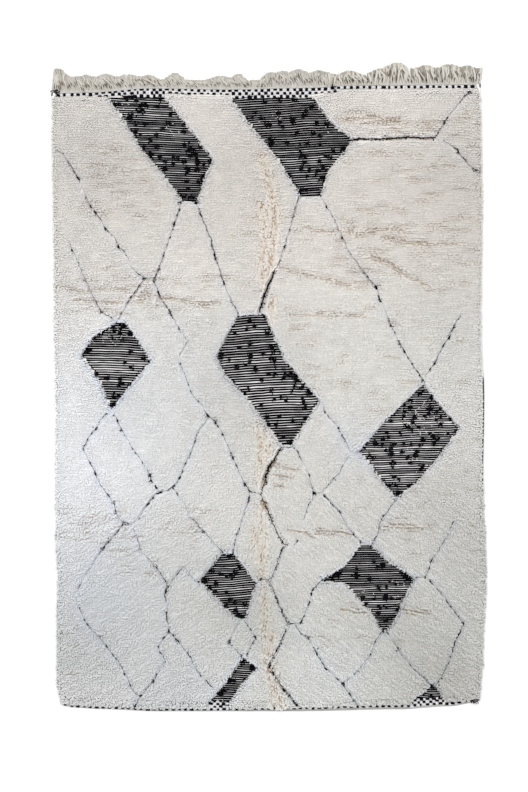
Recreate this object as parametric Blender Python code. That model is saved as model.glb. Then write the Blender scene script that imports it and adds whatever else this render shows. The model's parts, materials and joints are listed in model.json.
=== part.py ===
"""A hand-knotted wool pile rug with flat-woven lozenges and a warp fringe, lying flat.

X runs across the rug, Y along it towards the fringe, and Z up from the floor, in metres.
The origin is under the middle of the rug's outline, on the floor.
The rug is one cloth: deep pile, lozenges and end bands woven flat into the same warps, and a hem.
Its side warps are bound into two dark cords, and its end warps are left as a fringe.
"""

import math
from collections import namedtuple

import bmesh
import bpy
from mathutils import Vector, noise

CM = 0.01

# The outline's mean lines
SIDE_LINE = 0.995
PLAIN_END = -1.495
FRINGED_END = 1.390

# Heights above the floor
PILE_HEIGHT = 0.023
FLAT_WEAVE = 0.005
BAND_HEIGHT = 0.007

# The flat-woven bands at the two ends, and the slope from each band up to the pile
HEM_BAND = 0.024
CHECK_BAND = 0.040
PILE_SLOPE = 0.010

# The grid that the pile's surface is shaped on
COLUMNS = 34
PILE_ROWS = 46
FITS = 3  # times that a point's two places on the outline are worked out from each other

# Lumps in the pile, and the partings where it falls open
LUMP_HEIGHT = 0.0048
LUMP_SIZE = 0.130
KNOT_LUMP_HEIGHT = 0.0032
KNOT_LUMP_SIZE = 0.072
PARTING_WIDTH = 0.028

# The pile's rim along the sides: it hangs over the cord that binds them
RIM_INSET = 0.0125
RIM_OVERHANG = 0.0075
RIM_DROP = 0.16
TUCK_SHARE = 0.56

# Locks of wool that stand out of the rim
LOCK_REACH = 0.0075
LOCK_TIP = 0.22
LOCK_FALL = 0.0020

# The overcast cord along each side
CORD_RADIUS = 0.0045
CORD_INSET = 0.0050
CORD_POINTS = 34

# The fringe: a strip parted from the cloth's end, and the strands that leave it
STRANDS = 110
STRIP_GAP = 0.0015
STRIP_WIDTH = 0.0080
STRAND_THICKNESS = 0.0060
STRAND_TIP = 0.72
LEAST_REACH = 0.050
BUNCH_SLOPE = 0.35
BUNCH_SPREAD = 0.060
BUNCH_GATHER = 0.42

Edge = namedtuple("Edge", "along out")
Bunch = namedtuple("Bunch", "along reach")
Parting = namedtuple("Parting", "x_from y_from x_to y_to depth_mm")

# How far each side of the outline lies outside its mean line, in centimetres
LEFT_SIDE = [
    Edge(-146, -2.6),
    Edge(-136, -1.2),
    Edge(-108, -1.2),
    Edge(-87, -1.6),
    Edge(-74, -0.7),
    Edge(-20, 0.2),
    Edge(50, 0.7),
    Edge(120, 1.6),
    Edge(138, 1.4),
]
RIGHT_SIDE = [
    Edge(-146, -1.3),
    Edge(-122, 0.2),
    Edge(-87, 1.6),
    Edge(-41, 0.2),
    Edge(-6, 0.7),
    Edge(29, -0.2),
    Edge(87, 0.2),
    Edge(120, -0.2),
    Edge(138, -0.9),
]
PLAIN_END_EDGE = [
    Edge(-98, -2.4),
    Edge(-92, -0.6),
    Edge(-78, 0.2),
    Edge(-52, 1.2),
    Edge(15, 1.2),
    Edge(61, 0.3),
    Edge(84, -1.1),
    Edge(98, -3.2),
]
FRINGED_END_EDGE = [
    Edge(-101, -2.2),
    Edge(-84, -1.8),
    Edge(-55, 0.1),
    Edge(-18, -0.4),
    Edge(19, 0.4),
    Edge(38, 1.5),
    Edge(98, 1.9),
]

# Bunches of fringe that fall together in a point, in centimetres
BUNCHES = [
    Bunch(-97, 11.4),
    Bunch(-85, 8.0),
    Bunch(-76, 8.0),
    Bunch(-55, 6.2),
    Bunch(-43, 7.2),
    Bunch(-13, 7.2),
    Bunch(3, 7.4),
    Bunch(14, 8.2),
    Bunch(23, 7.6),
    Bunch(37, 7.0),
    Bunch(48, 7.4),
    Bunch(60, 10.2),
    Bunch(73, 8.8),
    Bunch(84, 9.2),
    Bunch(92, 9.0),
]

# Where the pile falls open down to its roots, in centimetres
PARTINGS = [
    Parting(0, 108, 0, 31, 8),
    Parting(-1, -17, -3, -90, 7),
    Parting(0, -94, 2, -146, 8),
    Parting(-99, 50, -22, 39, 6),
    Parting(33, 124, 61, 123, 4),
    Parting(11, 76, 64, 72, 6),
    Parting(53, 68, 87, 67, 5),
    Parting(7, 57, 45, 49, 5),
    Parting(48, 60, 75, 47, 5),
    Parting(6, 34, 47, 33, 4),
    Parting(9, -67, 39, -72, 5),
    Parting(53, -64, 72, -65, 4),
    Parting(59, -103, 75, -104, 4),
]

# Corners of the flat-woven lozenges, in centimetres across and along
LOZENGES = {
    "fringe_end_left": [
        (-75, 134.5), (-48.5, 135), (-36, 119), (-26, 105.5), (-29, 100),
        (-33.5, 86), (-40, 86.5), (-49.5, 100), (-59, 110.5), (-68, 126),
    ],
    "fringe_end_middle": [
        (-17.5, 134.5), (20.5, 135.5), (29, 122.5), (39, 115), (27.5, 100),
        (24, 89), (15, 89), (5, 105), (-10, 124),
    ],
    "left": [
        (-70.5, 30), (-66.5, 30), (-54.5, 12.5), (-65, 0), (-73, -10.5),
        (-78, 2), (-87, 15), (-81, 23.5),
    ],
    "middle": [
        (-14.5, 33), (-2, 34), (7, 13), (23.5, -6), (17.5, -15.5),
        (11, -26.5), (6, -26.5), (-7, -9), (-20.5, 6.5), (-24, 14.5),
    ],
    "right": [
        (72, 1.5), (80.5, -10), (88.5, -18.5), (77, -34.5), (68, -45),
        (59, -51), (54, -45), (47.5, -36), (42, -30), (53, -17), (64, -6),
    ],
    "lower_left": [
        (-21.5, -77.5), (-16, -77.5), (-6, -90.5), (-11, -107.5), (-15, -107),
        (-24, -98), (-32, -90), (-26.5, -84),
    ],
    "lower_right": [
        (43, -73), (48, -73.5), (56.5, -82), (67.5, -89), (63.5, -96.5),
        (57, -111), (53, -114), (47.5, -104.5), (35.5, -91.5), (24.5, -89.5), (35, -83.5),
    ],
    "plain_end_left": [
        (-11.5, -125.5), (-5.5, -130), (-12.5, -138), (-19, -147.5), (-27.5, -147.5),
        (-19.5, -137.5), (-13, -127.5),
    ],
    "plain_end_right": [
        (76, -138), (81.5, -145), (69.5, -145),
    ],
}


def smooth_step(share):
    return share * share * (3 - 2 * share)


def edge_out(table, along):
    """How far the outline lies outside its mean line, in metres, read smoothly from a table."""
    along = along / CM
    if along <= table[0].along:
        return table[0].out * CM
    for first, second in zip(table, table[1:]):
        if along <= second.along:
            share = smooth_step((along - first.along) / (second.along - first.along))
            return (first.out + (second.out - first.out) * share) * CM
    return table[-1].out * CM


def side_at(y, side):
    """X of the outline at y, on the side -1 or 1."""
    table = LEFT_SIDE if side < 0 else RIGHT_SIDE
    return side * (SIDE_LINE + edge_out(table, y))


def plain_end_at(x):
    return PLAIN_END - edge_out(PLAIN_END_EDGE, x)


def fringed_end_at(x):
    return FRINGED_END + edge_out(FRINGED_END_EDGE, x)


def distance_to(parting, x, y):
    """Distance in metres from a point to the line that a parting follows."""
    start = Vector((parting.x_from, parting.y_from)) * CM
    run = Vector((parting.x_to, parting.y_to)) * CM - start
    place = Vector((x, y)) - start
    share = max(0.0, min(1.0, place.dot(run) / run.length_squared))
    return (place - run * share).length


def pile_top(x, y):
    """Height of the pile: its lumps, less the partings."""
    place = Vector((x, y, 0))
    lumps = LUMP_HEIGHT * noise.noise(place / LUMP_SIZE)
    lumps += KNOT_LUMP_HEIGHT * noise.noise(place / KNOT_LUMP_SIZE)
    depth = 0.0
    for parting in PARTINGS:
        nearness = math.exp(-((distance_to(parting, x, y) / PARTING_WIDTH) ** 2))
        depth = max(depth, parting.depth_mm / 1000 * nearness)
    return PILE_HEIGHT + lumps - depth


def within(outline, x, y):
    """Whether a point lies inside an outline given in centimetres."""
    inside = False
    for (x1, y1), (x2, y2) in zip(outline, outline[1:] + outline[:1]):
        if (y1 * CM > y) != (y2 * CM > y):
            crossing = x1 + (x2 - x1) * (y / CM - y1) / (y2 - y1)
            inside = inside != (x / CM < crossing)
    return inside


def woven_flat(x, y):
    return any(within(outline, x, y) for outline in LOZENGES.values())


def make_collection(name):
    collection = bpy.data.collections.new(name)
    bpy.context.scene.collection.children.link(collection)
    return collection


def make_material(name, colour, roughness):
    material = bpy.data.materials.new(name)
    material.use_nodes = True
    shader = material.node_tree.nodes["Principled BSDF"]
    shader.inputs["Base Color"].default_value = (*colour, 1)
    shader.inputs["Roughness"].default_value = roughness
    shader.inputs["Metallic"].default_value = 0.0
    return material


def make_object(name, mesh, collection, material=None):
    piece = bpy.data.objects.new(name, mesh)
    collection.objects.link(piece)
    if material is not None:
        mesh.materials.append(material)
    return piece


def mesh_from(bm, name):
    bmesh.ops.recalc_face_normals(bm, faces=bm.faces)
    mesh = bpy.data.meshes.new(name)
    bm.to_mesh(mesh)
    bm.free()
    mesh.shade_smooth()
    mesh.set_sharp_from_angle(angle=math.radians(40))
    return mesh


def row_stations():
    """How far along the cloth each row of the grid lies: 0 at the plain end, 1 at the fringed end."""
    length = FRINGED_END - PLAIN_END
    first = HEM_BAND + PILE_SLOPE
    last = length - CHECK_BAND - PILE_SLOPE
    pile = [first + (last - first) * row / PILE_ROWS for row in range(PILE_ROWS + 1)]
    return [place / length for place in [0, HEM_BAND, *pile, length - CHECK_BAND, length]]


def shape_top(bm):
    """Lays the grid over the cloth's outline and raises the pile. Returns the rows' count."""
    stations = row_stations()
    rows = len(stations) - 1
    bmesh.ops.create_grid(bm, x_segments=COLUMNS, y_segments=rows, size=1)
    for vert in bm.verts:
        share_x = (vert.co.x + 1) / 2
        row = round((vert.co.y + 1) / 2 * rows)
        share_y = stations[row]
        x = SIDE_LINE * (2 * share_x - 1)
        y = PLAIN_END + (FRINGED_END - PLAIN_END) * share_y
        for _ in range(FITS):
            left = side_at(y, -1) + RIM_INSET
            right = side_at(y, 1) - RIM_INSET
            x = left + (right - left) * share_x
            y = plain_end_at(x) + (fringed_end_at(x) - plain_end_at(x)) * share_y
        in_band = row < 2 or row > rows - 2
        vert.co = (x, y, BAND_HEIGHT if in_band else pile_top(x, y))


def side_of(vert):
    """-1 or 1 for a point of the left or right rim, and 0 for one of the ends."""
    side = 1 if vert.co.x > 0 else -1
    rim = abs(side_at(vert.co.y, side)) - RIM_INSET
    near = abs(vert.co.x) > rim - RIM_INSET
    return side if near and vert.co.z > 2 * BAND_HEIGHT * TUCK_SHARE else 0


def extrude_rim(bm, edges):
    """Extrudes the rim's open edges in place. Returns the new edges and the new points."""
    made = bmesh.ops.extrude_edge_only(bm, edges=edges)["geom"]
    points = [part for part in made if isinstance(part, bmesh.types.BMVert)]
    faces = [part for part in made if isinstance(part, bmesh.types.BMFace)]
    ring = [edge for face in faces for edge in face.edges if edge.is_boundary]
    return ring, points, faces


def shape_rim(bm):
    """Turns the pile's sides over into a ruffled, overhanging rim and closes the underside."""
    rim = [edge for edge in bm.edges if edge.is_boundary]
    sides = [edge for edge in rim if all(side_of(vert) for vert in edge.verts)]
    bmesh.ops.subdivide_edges(bm, edges=sides, cuts=1)

    rim = [edge for edge in bm.edges if edge.is_boundary]
    ring, points, overhang = extrude_rim(bm, rim)
    height, shift = {}, {}
    for vert in points:
        side = side_of(vert)
        ruffle = 0.75 + 0.5 * noise.noise(Vector((vert.co.x, vert.co.y, 0)) / KNOT_LUMP_SIZE)
        height[vert] = vert.co.z
        shift[vert] = side * RIM_OVERHANG * ruffle
        vert.co.x += shift[vert]
        vert.co.z -= vert.co.z * RIM_DROP
    places = {tuple(vert.co): vert for vert in points}

    ring, points, _ = extrude_rim(bm, ring)
    for vert in points:
        above = places[tuple(vert.co)]
        vert.co.x -= shift[above]
        vert.co.z = height[above] * TUCK_SHARE

    ring, points, _ = extrude_rim(bm, ring)
    for vert in points:
        vert.co.z = 0.0
    bmesh.ops.holes_fill(bm, edges=ring, sides=0)
    return [face for face in overhang if all(side_of(vert) for vert in face.verts)]


def draw_lock(bm, face, way):
    """Draws a face out into a pointed lock of wool that falls a little."""
    made = bmesh.ops.extrude_discrete_faces(bm, faces=[face])["faces"][0]
    centre = made.calc_center_median()
    for vert in made.verts:
        vert.co = centre + (vert.co - centre) * LOCK_TIP + way * LOCK_REACH
        vert.co.z -= LOCK_FALL


def slope_faces(bm):
    """The faces that climb from the flat end bands to the pile, clear of the lozenges."""
    chosen = []
    for face in bm.faces:
        heights = [vert.co.z for vert in face.verts]
        if len(heights) != 4 or min(heights) < BAND_HEIGHT * 0.99 or max(heights) < 2 * BAND_HEIGHT:
            continue
        if min(heights) > BAND_HEIGHT * 1.01 or any(side_of(vert) for vert in face.verts):
            continue
        xs = [vert.co.x for vert in face.verts]
        y = face.calc_center_median().y
        if not any(woven_flat(x, y) for x in (min(xs), sum(xs) / 4, max(xs))):
            chosen.append(face)
    return chosen


def make_cloth(collection, material):
    bm = bmesh.new()
    shape_top(bm)
    sides = shape_rim(bm)
    ends = slope_faces(bm)
    sides.sort(key=lambda face: (face.calc_center_median().x > 0, face.calc_center_median().y))
    ends.sort(key=lambda face: (face.calc_center_median().y > 0, face.calc_center_median().x))
    for face in sides[::2]:
        draw_lock(bm, face, Vector((math.copysign(1, face.calc_center_median().x), 0, 0)))
    for face in ends[::2]:
        draw_lock(bm, face, Vector((0, math.copysign(1, face.calc_center_median().y), 0)))
    bmesh.ops.triangulate(bm, faces=bm.faces)
    return make_object("rug_cloth", mesh_from(bm, "rug_cloth"), collection, material)


def make_lozenge_cutter(name, outline, collection):
    """An upright block of a lozenge's outline, from the flat weave up to above the pile."""
    height = 2 * PILE_HEIGHT
    curve = bpy.data.curves.new(name, "CURVE")
    curve.dimensions = "2D"
    curve.fill_mode = "BOTH"
    curve.extrude = height / 2
    spline = curve.splines.new("POLY")
    spline.points.add(len(outline) - 1)
    spline.use_cyclic_u = True
    for point, (x, y) in zip(spline.points, outline):
        point.co = (x * CM, y * CM, 0, 1)
    source = bpy.data.objects.new(name, curve)
    source.location.z = FLAT_WEAVE + height / 2
    collection.objects.link(source)
    bpy.context.view_layer.update()

    evaluated = source.evaluated_get(bpy.context.evaluated_depsgraph_get())
    mesh = bpy.data.meshes.new_from_object(evaluated)
    bm = bmesh.new()
    bm.from_mesh(mesh)
    bmesh.ops.remove_doubles(bm, verts=bm.verts, dist=1e-5)
    bmesh.ops.recalc_face_normals(bm, faces=bm.faces)
    bm.to_mesh(mesh)
    bm.free()
    cutter = make_object(name + "_cutter", mesh, collection)
    cutter.matrix_world = source.matrix_world
    cutter.hide_render = True
    cutter.display_type = "WIRE"
    bpy.data.objects.remove(source)
    return cutter


def cut_lozenges(cloth, collection):
    for name, outline in LOZENGES.items():
        cutter = make_lozenge_cutter(name, outline, collection)
        modifier = cloth.modifiers.new(name, "BOOLEAN")
        modifier.operation = "DIFFERENCE"
        modifier.solver = "EXACT"
        modifier.object = cutter


def make_selvedge(name, side, collection, material):
    """The cord of overcast side warps, lying on the floor under the pile's rim."""
    curve = bpy.data.curves.new(name, "CURVE")
    curve.dimensions = "3D"
    curve.bevel_depth = CORD_RADIUS
    curve.bevel_resolution = 1
    curve.use_fill_caps = True
    spline = curve.splines.new("POLY")
    spline.points.add(CORD_POINTS - 1)
    low = plain_end_at(side * SIDE_LINE)
    high = fringed_end_at(side * SIDE_LINE)
    for number, point in enumerate(spline.points):
        y = low + (high - low) * number / (CORD_POINTS - 1)
        x = side_at(y, side) - side * CORD_INSET
        point.co = (x, y, CORD_RADIUS, 1)
    cord = bpy.data.objects.new(name, curve)
    curve.materials.append(material)
    collection.objects.link(cord)
    return cord


def fringe_reach(x):
    """How long the fringe is at x: pointed bunches over an even least length."""
    points = [bunch.reach * CM - BUNCH_SLOPE * abs(x - bunch.along * CM) for bunch in BUNCHES]
    return max(LEAST_REACH, *points)


def fringe_lean(x):
    """How far sideways the tip of the strand rooted at x lies, drawn towards its bunch."""
    lean = 0.0
    for bunch in BUNCHES:
        away = bunch.along * CM - x
        lean += BUNCH_GATHER * away * math.exp(-((away / BUNCH_SPREAD) ** 2))
    return lean


def make_fringe(collection, material):
    """A narrow strip beyond the cloth's end, with a strand drawn out of every other cell of it."""
    bm = bmesh.new()
    cells = 2 * STRANDS - 1
    bmesh.ops.create_grid(bm, x_segments=cells, y_segments=1, size=1)
    left = side_at(FRINGED_END, -1)
    right = side_at(FRINGED_END, 1)
    for vert in bm.verts:
        x = left + (right - left) * (vert.co.x + 1) / 2
        beyond = STRIP_WIDTH if vert.co.y > 0 else 0
        vert.co = (x, fringed_end_at(x) + STRIP_GAP + beyond, STRAND_THICKNESS)
    made = bmesh.ops.extrude_face_region(bm, geom=list(bm.faces))["geom"]
    for part in made:
        if isinstance(part, bmesh.types.BMVert):
            part.co.z = 0.0
    bmesh.ops.recalc_face_normals(bm, faces=bm.faces)

    far = [face for face in bm.faces if face.normal.y > 0.5]
    far.sort(key=lambda face: face.calc_center_median().x)
    for face in far[::2]:
        root = face.calc_center_median()
        reach = fringe_reach(root.x) - STRIP_WIDTH
        lean = fringe_lean(root.x)
        for share in (0.5, 1.0):
            face = bmesh.ops.extrude_discrete_faces(bm, faces=[face])["faces"][0]
            width = 1 - (1 - STRAND_TIP) * share
            x = root.x + lean * smooth_step(share)
            y = root.y + reach * share
            place = face.calc_center_median()
            for vert in face.verts:
                vert.co.x = x + (vert.co.x - place.x) * width
                vert.co.y = y
    bmesh.ops.triangulate(bm, faces=bm.faces)
    return make_object("warp_fringe", mesh_from(bm, "warp_fringe"), collection, material)


def main():
    for old in list(bpy.data.objects):
        bpy.data.objects.remove(old, do_unlink=True)
    rug = make_collection("beni_ourain_rug")
    cutters = make_collection("cutters")

    pile_wool = make_material("pile_wool", (0.78, 0.74, 0.68), 0.95)
    fringe_wool = make_material("fringe_wool", (0.60, 0.55, 0.48), 0.90)
    dark_wool = make_material("dark_wool", (0.03, 0.03, 0.04), 0.90)

    cloth = make_cloth(rug, pile_wool)
    cut_lozenges(cloth, cutters)
    make_fringe(rug, fringe_wool)
    make_selvedge("selvedge_left", -1, rug, dark_wool)
    make_selvedge("selvedge_right", 1, rug, dark_wool)


main()
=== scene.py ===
# %% [markdown]
# # A hand-knotted wool rug, seen from above
# The rug is one cloth on one set of warps. Most of it is deep cream pile, knotted row by row.
# Nine lozenges and the two end bands are woven flat, and thin lines of black knots join the lozenges.
# The sides are bound with dark wool, and the warps leave one end as a fringe.
# Every piece below is set out from a few tables of places in centimetres on the cloth.

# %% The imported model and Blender's modules
import json
import math

import bmesh
import bpy
import numpy as np
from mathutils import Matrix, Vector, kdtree

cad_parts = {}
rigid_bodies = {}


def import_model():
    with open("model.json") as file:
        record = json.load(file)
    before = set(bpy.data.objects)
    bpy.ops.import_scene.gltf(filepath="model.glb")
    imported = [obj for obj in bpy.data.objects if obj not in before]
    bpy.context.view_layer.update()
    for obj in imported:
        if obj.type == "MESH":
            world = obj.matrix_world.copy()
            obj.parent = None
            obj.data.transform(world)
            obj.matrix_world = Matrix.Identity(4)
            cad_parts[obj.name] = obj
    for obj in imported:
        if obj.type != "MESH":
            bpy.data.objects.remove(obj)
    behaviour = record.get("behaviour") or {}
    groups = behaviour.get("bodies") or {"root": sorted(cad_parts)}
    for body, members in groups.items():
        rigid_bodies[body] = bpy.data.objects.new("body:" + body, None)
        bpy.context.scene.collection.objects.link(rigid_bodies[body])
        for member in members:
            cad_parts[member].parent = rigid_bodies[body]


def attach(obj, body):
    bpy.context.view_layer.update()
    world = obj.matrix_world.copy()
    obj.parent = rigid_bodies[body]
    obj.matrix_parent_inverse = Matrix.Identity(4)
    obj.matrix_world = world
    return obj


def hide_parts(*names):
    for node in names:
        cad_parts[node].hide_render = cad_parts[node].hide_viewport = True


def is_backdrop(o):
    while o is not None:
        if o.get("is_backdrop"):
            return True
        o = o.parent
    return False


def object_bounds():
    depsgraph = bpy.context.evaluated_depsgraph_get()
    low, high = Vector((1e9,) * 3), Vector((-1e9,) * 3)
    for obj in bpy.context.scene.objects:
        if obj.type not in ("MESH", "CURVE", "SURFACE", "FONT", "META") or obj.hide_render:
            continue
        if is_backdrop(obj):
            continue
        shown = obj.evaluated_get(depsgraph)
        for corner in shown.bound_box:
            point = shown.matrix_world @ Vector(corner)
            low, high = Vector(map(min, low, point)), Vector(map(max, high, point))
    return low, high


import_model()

cad_low, cad_high = (tuple(corner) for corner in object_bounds())
print("solids from", cad_low, "to", cad_high)

# %% [markdown]
# ## The drawing
# X runs across the rug, Y along it towards the fringe, and Z up from the floor.
# The outline isn't quite straight, as on any rug that comes off a hand loom. Each side is a mean line
# and a short table of how far the edge lies outside it, read with eased steps from row to row.

# %% Outline and heights
CM = 0.01
MM = 0.001

SIDE_LINE = 0.995
PLAIN_END = -1.495
FRINGED_END = 1.390

LEFT_SIDE = [
    (-150.5, -4.6), (-146, -2.6), (-136, -1.2), (-108, -1.2), (-87, -1.6), (-74, -0.7),
    (-20, 0.2), (50, 0.7), (120, 1.6), (138, 1.4),
]
RIGHT_SIDE = [
    (-149, -3.2), (-146, -1.3), (-122, 0.2), (-87, 1.6), (-41, 0.2), (-6, 0.7),
    (29, -0.2), (87, 0.2), (120, -0.2), (138, -0.9),
]
PLAIN_END_EDGE = [
    (-98, -2.4), (-92, -0.6), (-78, 0.2), (-52, 1.2), (15, 1.2),
    (61, 0.3), (84, -1.1), (98, -3.2),
]
FRINGED_END_EDGE = [
    (-101, -2.2), (-84, -1.8), (-55, 0.1), (-18, -0.4), (19, 0.4), (38, 1.5), (98, 1.9),
]

PILE_TOP = 23 * MM
FLAT_WEAVE = 4.5 * MM
BAND_TOP = 5 * MM
RIM_INSET = 12.5 * MM


def ease(share):
    return share * share * (3 - 2 * share)


def read_table(rows, along):
    """Reads a table of (place, value) rows at many places, easing from one row to the next."""
    places, values = np.array(rows, float).T
    along = np.clip(along, places[0], places[-1])
    row = np.clip(np.searchsorted(places, along) - 1, 0, len(places) - 2)
    share = ease((along - places[row]) / (places[row + 1] - places[row]))
    return values[row] + (values[row + 1] - values[row]) * share


def left_at(y):
    return -SIDE_LINE - read_table(LEFT_SIDE, np.asarray(y) / CM) * CM


def right_at(y):
    return SIDE_LINE + read_table(RIGHT_SIDE, np.asarray(y) / CM) * CM


def plain_end_at(x):
    return PLAIN_END - read_table(PLAIN_END_EDGE, np.asarray(x) / CM) * CM


def fringed_end_at(x):
    return FRINGED_END + read_table(FRINGED_END_EDGE, np.asarray(x) / CM) * CM


# %% [markdown]
# The flat-woven lozenges are closed outlines with a few corners each. The black lines are chains of
# knots between them: thin in most places, and thick where several rows of black knots lie together.
# A third number marks a bend where a bunch of black wool stands up out of the pile.

# %% Lozenges, in centimetres
LOZENGES = {
    "fringe_end_left": [
        (-74.7, 134.8), (-48.7, 134.8), (-36, 119), (-26, 105.5), (-29, 100),
        (-33.5, 86), (-40, 86.5), (-49.5, 100), (-59, 110.5), (-68, 126),
    ],
    "fringe_end_middle": [
        (-17.2, 134.4), (20.3, 134.4), (29, 122.5), (39, 115), (27.5, 100),
        (24, 89), (15, 89), (5, 105), (-10, 124),
    ],
    "left": [
        (-70.5, 30), (-66.5, 30), (-54.5, 12.5), (-65, 0), (-73, -10.5),
        (-78, 2), (-87, 15), (-81, 23.5),
    ],
    "middle": [
        (-14.5, 33), (-2, 34), (7, 13), (23.5, -6), (17.5, -15.5),
        (11, -26.5), (6, -26.5), (-7, -9), (-20.5, 6.5), (-24, 14.5),
    ],
    "right": [
        (72, 1.5), (80.5, -10), (88.5, -18.5), (77, -34.5), (68, -45),
        (59, -51), (54, -45), (47.5, -36), (42, -30), (53, -17), (64, -6),
    ],
    "lower_left": [
        (-21.5, -77.5), (-16, -77.5), (-6, -90.5), (-11, -107.5), (-15, -107),
        (-24, -98), (-32, -90), (-26.5, -84),
    ],
    "lower_right": [
        (43, -73), (48, -73.5), (56.5, -82), (67.5, -89), (63.5, -96.5),
        (57, -111), (53, -114), (47.5, -104.5), (35.5, -91.5), (24.5, -89.5), (35, -83.5),
    ],
    "plain_end_left": [
        (-11.5, -125.5), (-5.5, -130), (-12.5, -138), (-18, -146), (-27, -146),
        (-19.5, -137.5), (-13, -127.5),
    ],
    "plain_end_right": [
        (76, -137.5), (81.3, -144.8), (67.5, -144.8), (72.5, -141.5),
    ],
}

# How each lozenge is woven: millimetres to a pair of passes, how far the passes slant, in degrees,
# the black pass's share of the pair, and how uneven the cream passes are
WEAVING = {
    "fringe_end_left": (10.3, -1.6, 0.895, 0.70),
    "fringe_end_middle": (10.6, 3.0, 0.875, 0.42),
    "left": (11.0, -0.8, 0.825, 0.42),
    "middle": (11.8, 3.0, 0.80, 0.42),
    "right": (10.4, 1.6, 0.815, 0.42),
    "lower_left": (10.6, 3.6, 0.87, 0.48),
    "lower_right": (10.2, 1.4, 0.88, 0.66),
    "plain_end_left": (10.0, -1.8, 0.855, 0.42),
    "plain_end_right": (9.6, 0.0, 0.855, 0.42),
}

# Where the checks reach further into the rug, at the end of a lozenge
CHECKED_PATCHES = [
    [(-74.7, 134.8), (-48.7, 134.8), (-47, 137.5), (-76, 137.5)],
    [(-17.2, 134.4), (20.3, 134.4), (22, 137.5), (-19, 137.5)],
    [(-27.5, -145.8), (-19.0, -145.8), (-19.0, -150.5), (-28.0, -150.5)],
    [(66.0, -144.6), (82, -144.4), (82.5, -149.5), (65.0, -149.5)],
]

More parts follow.
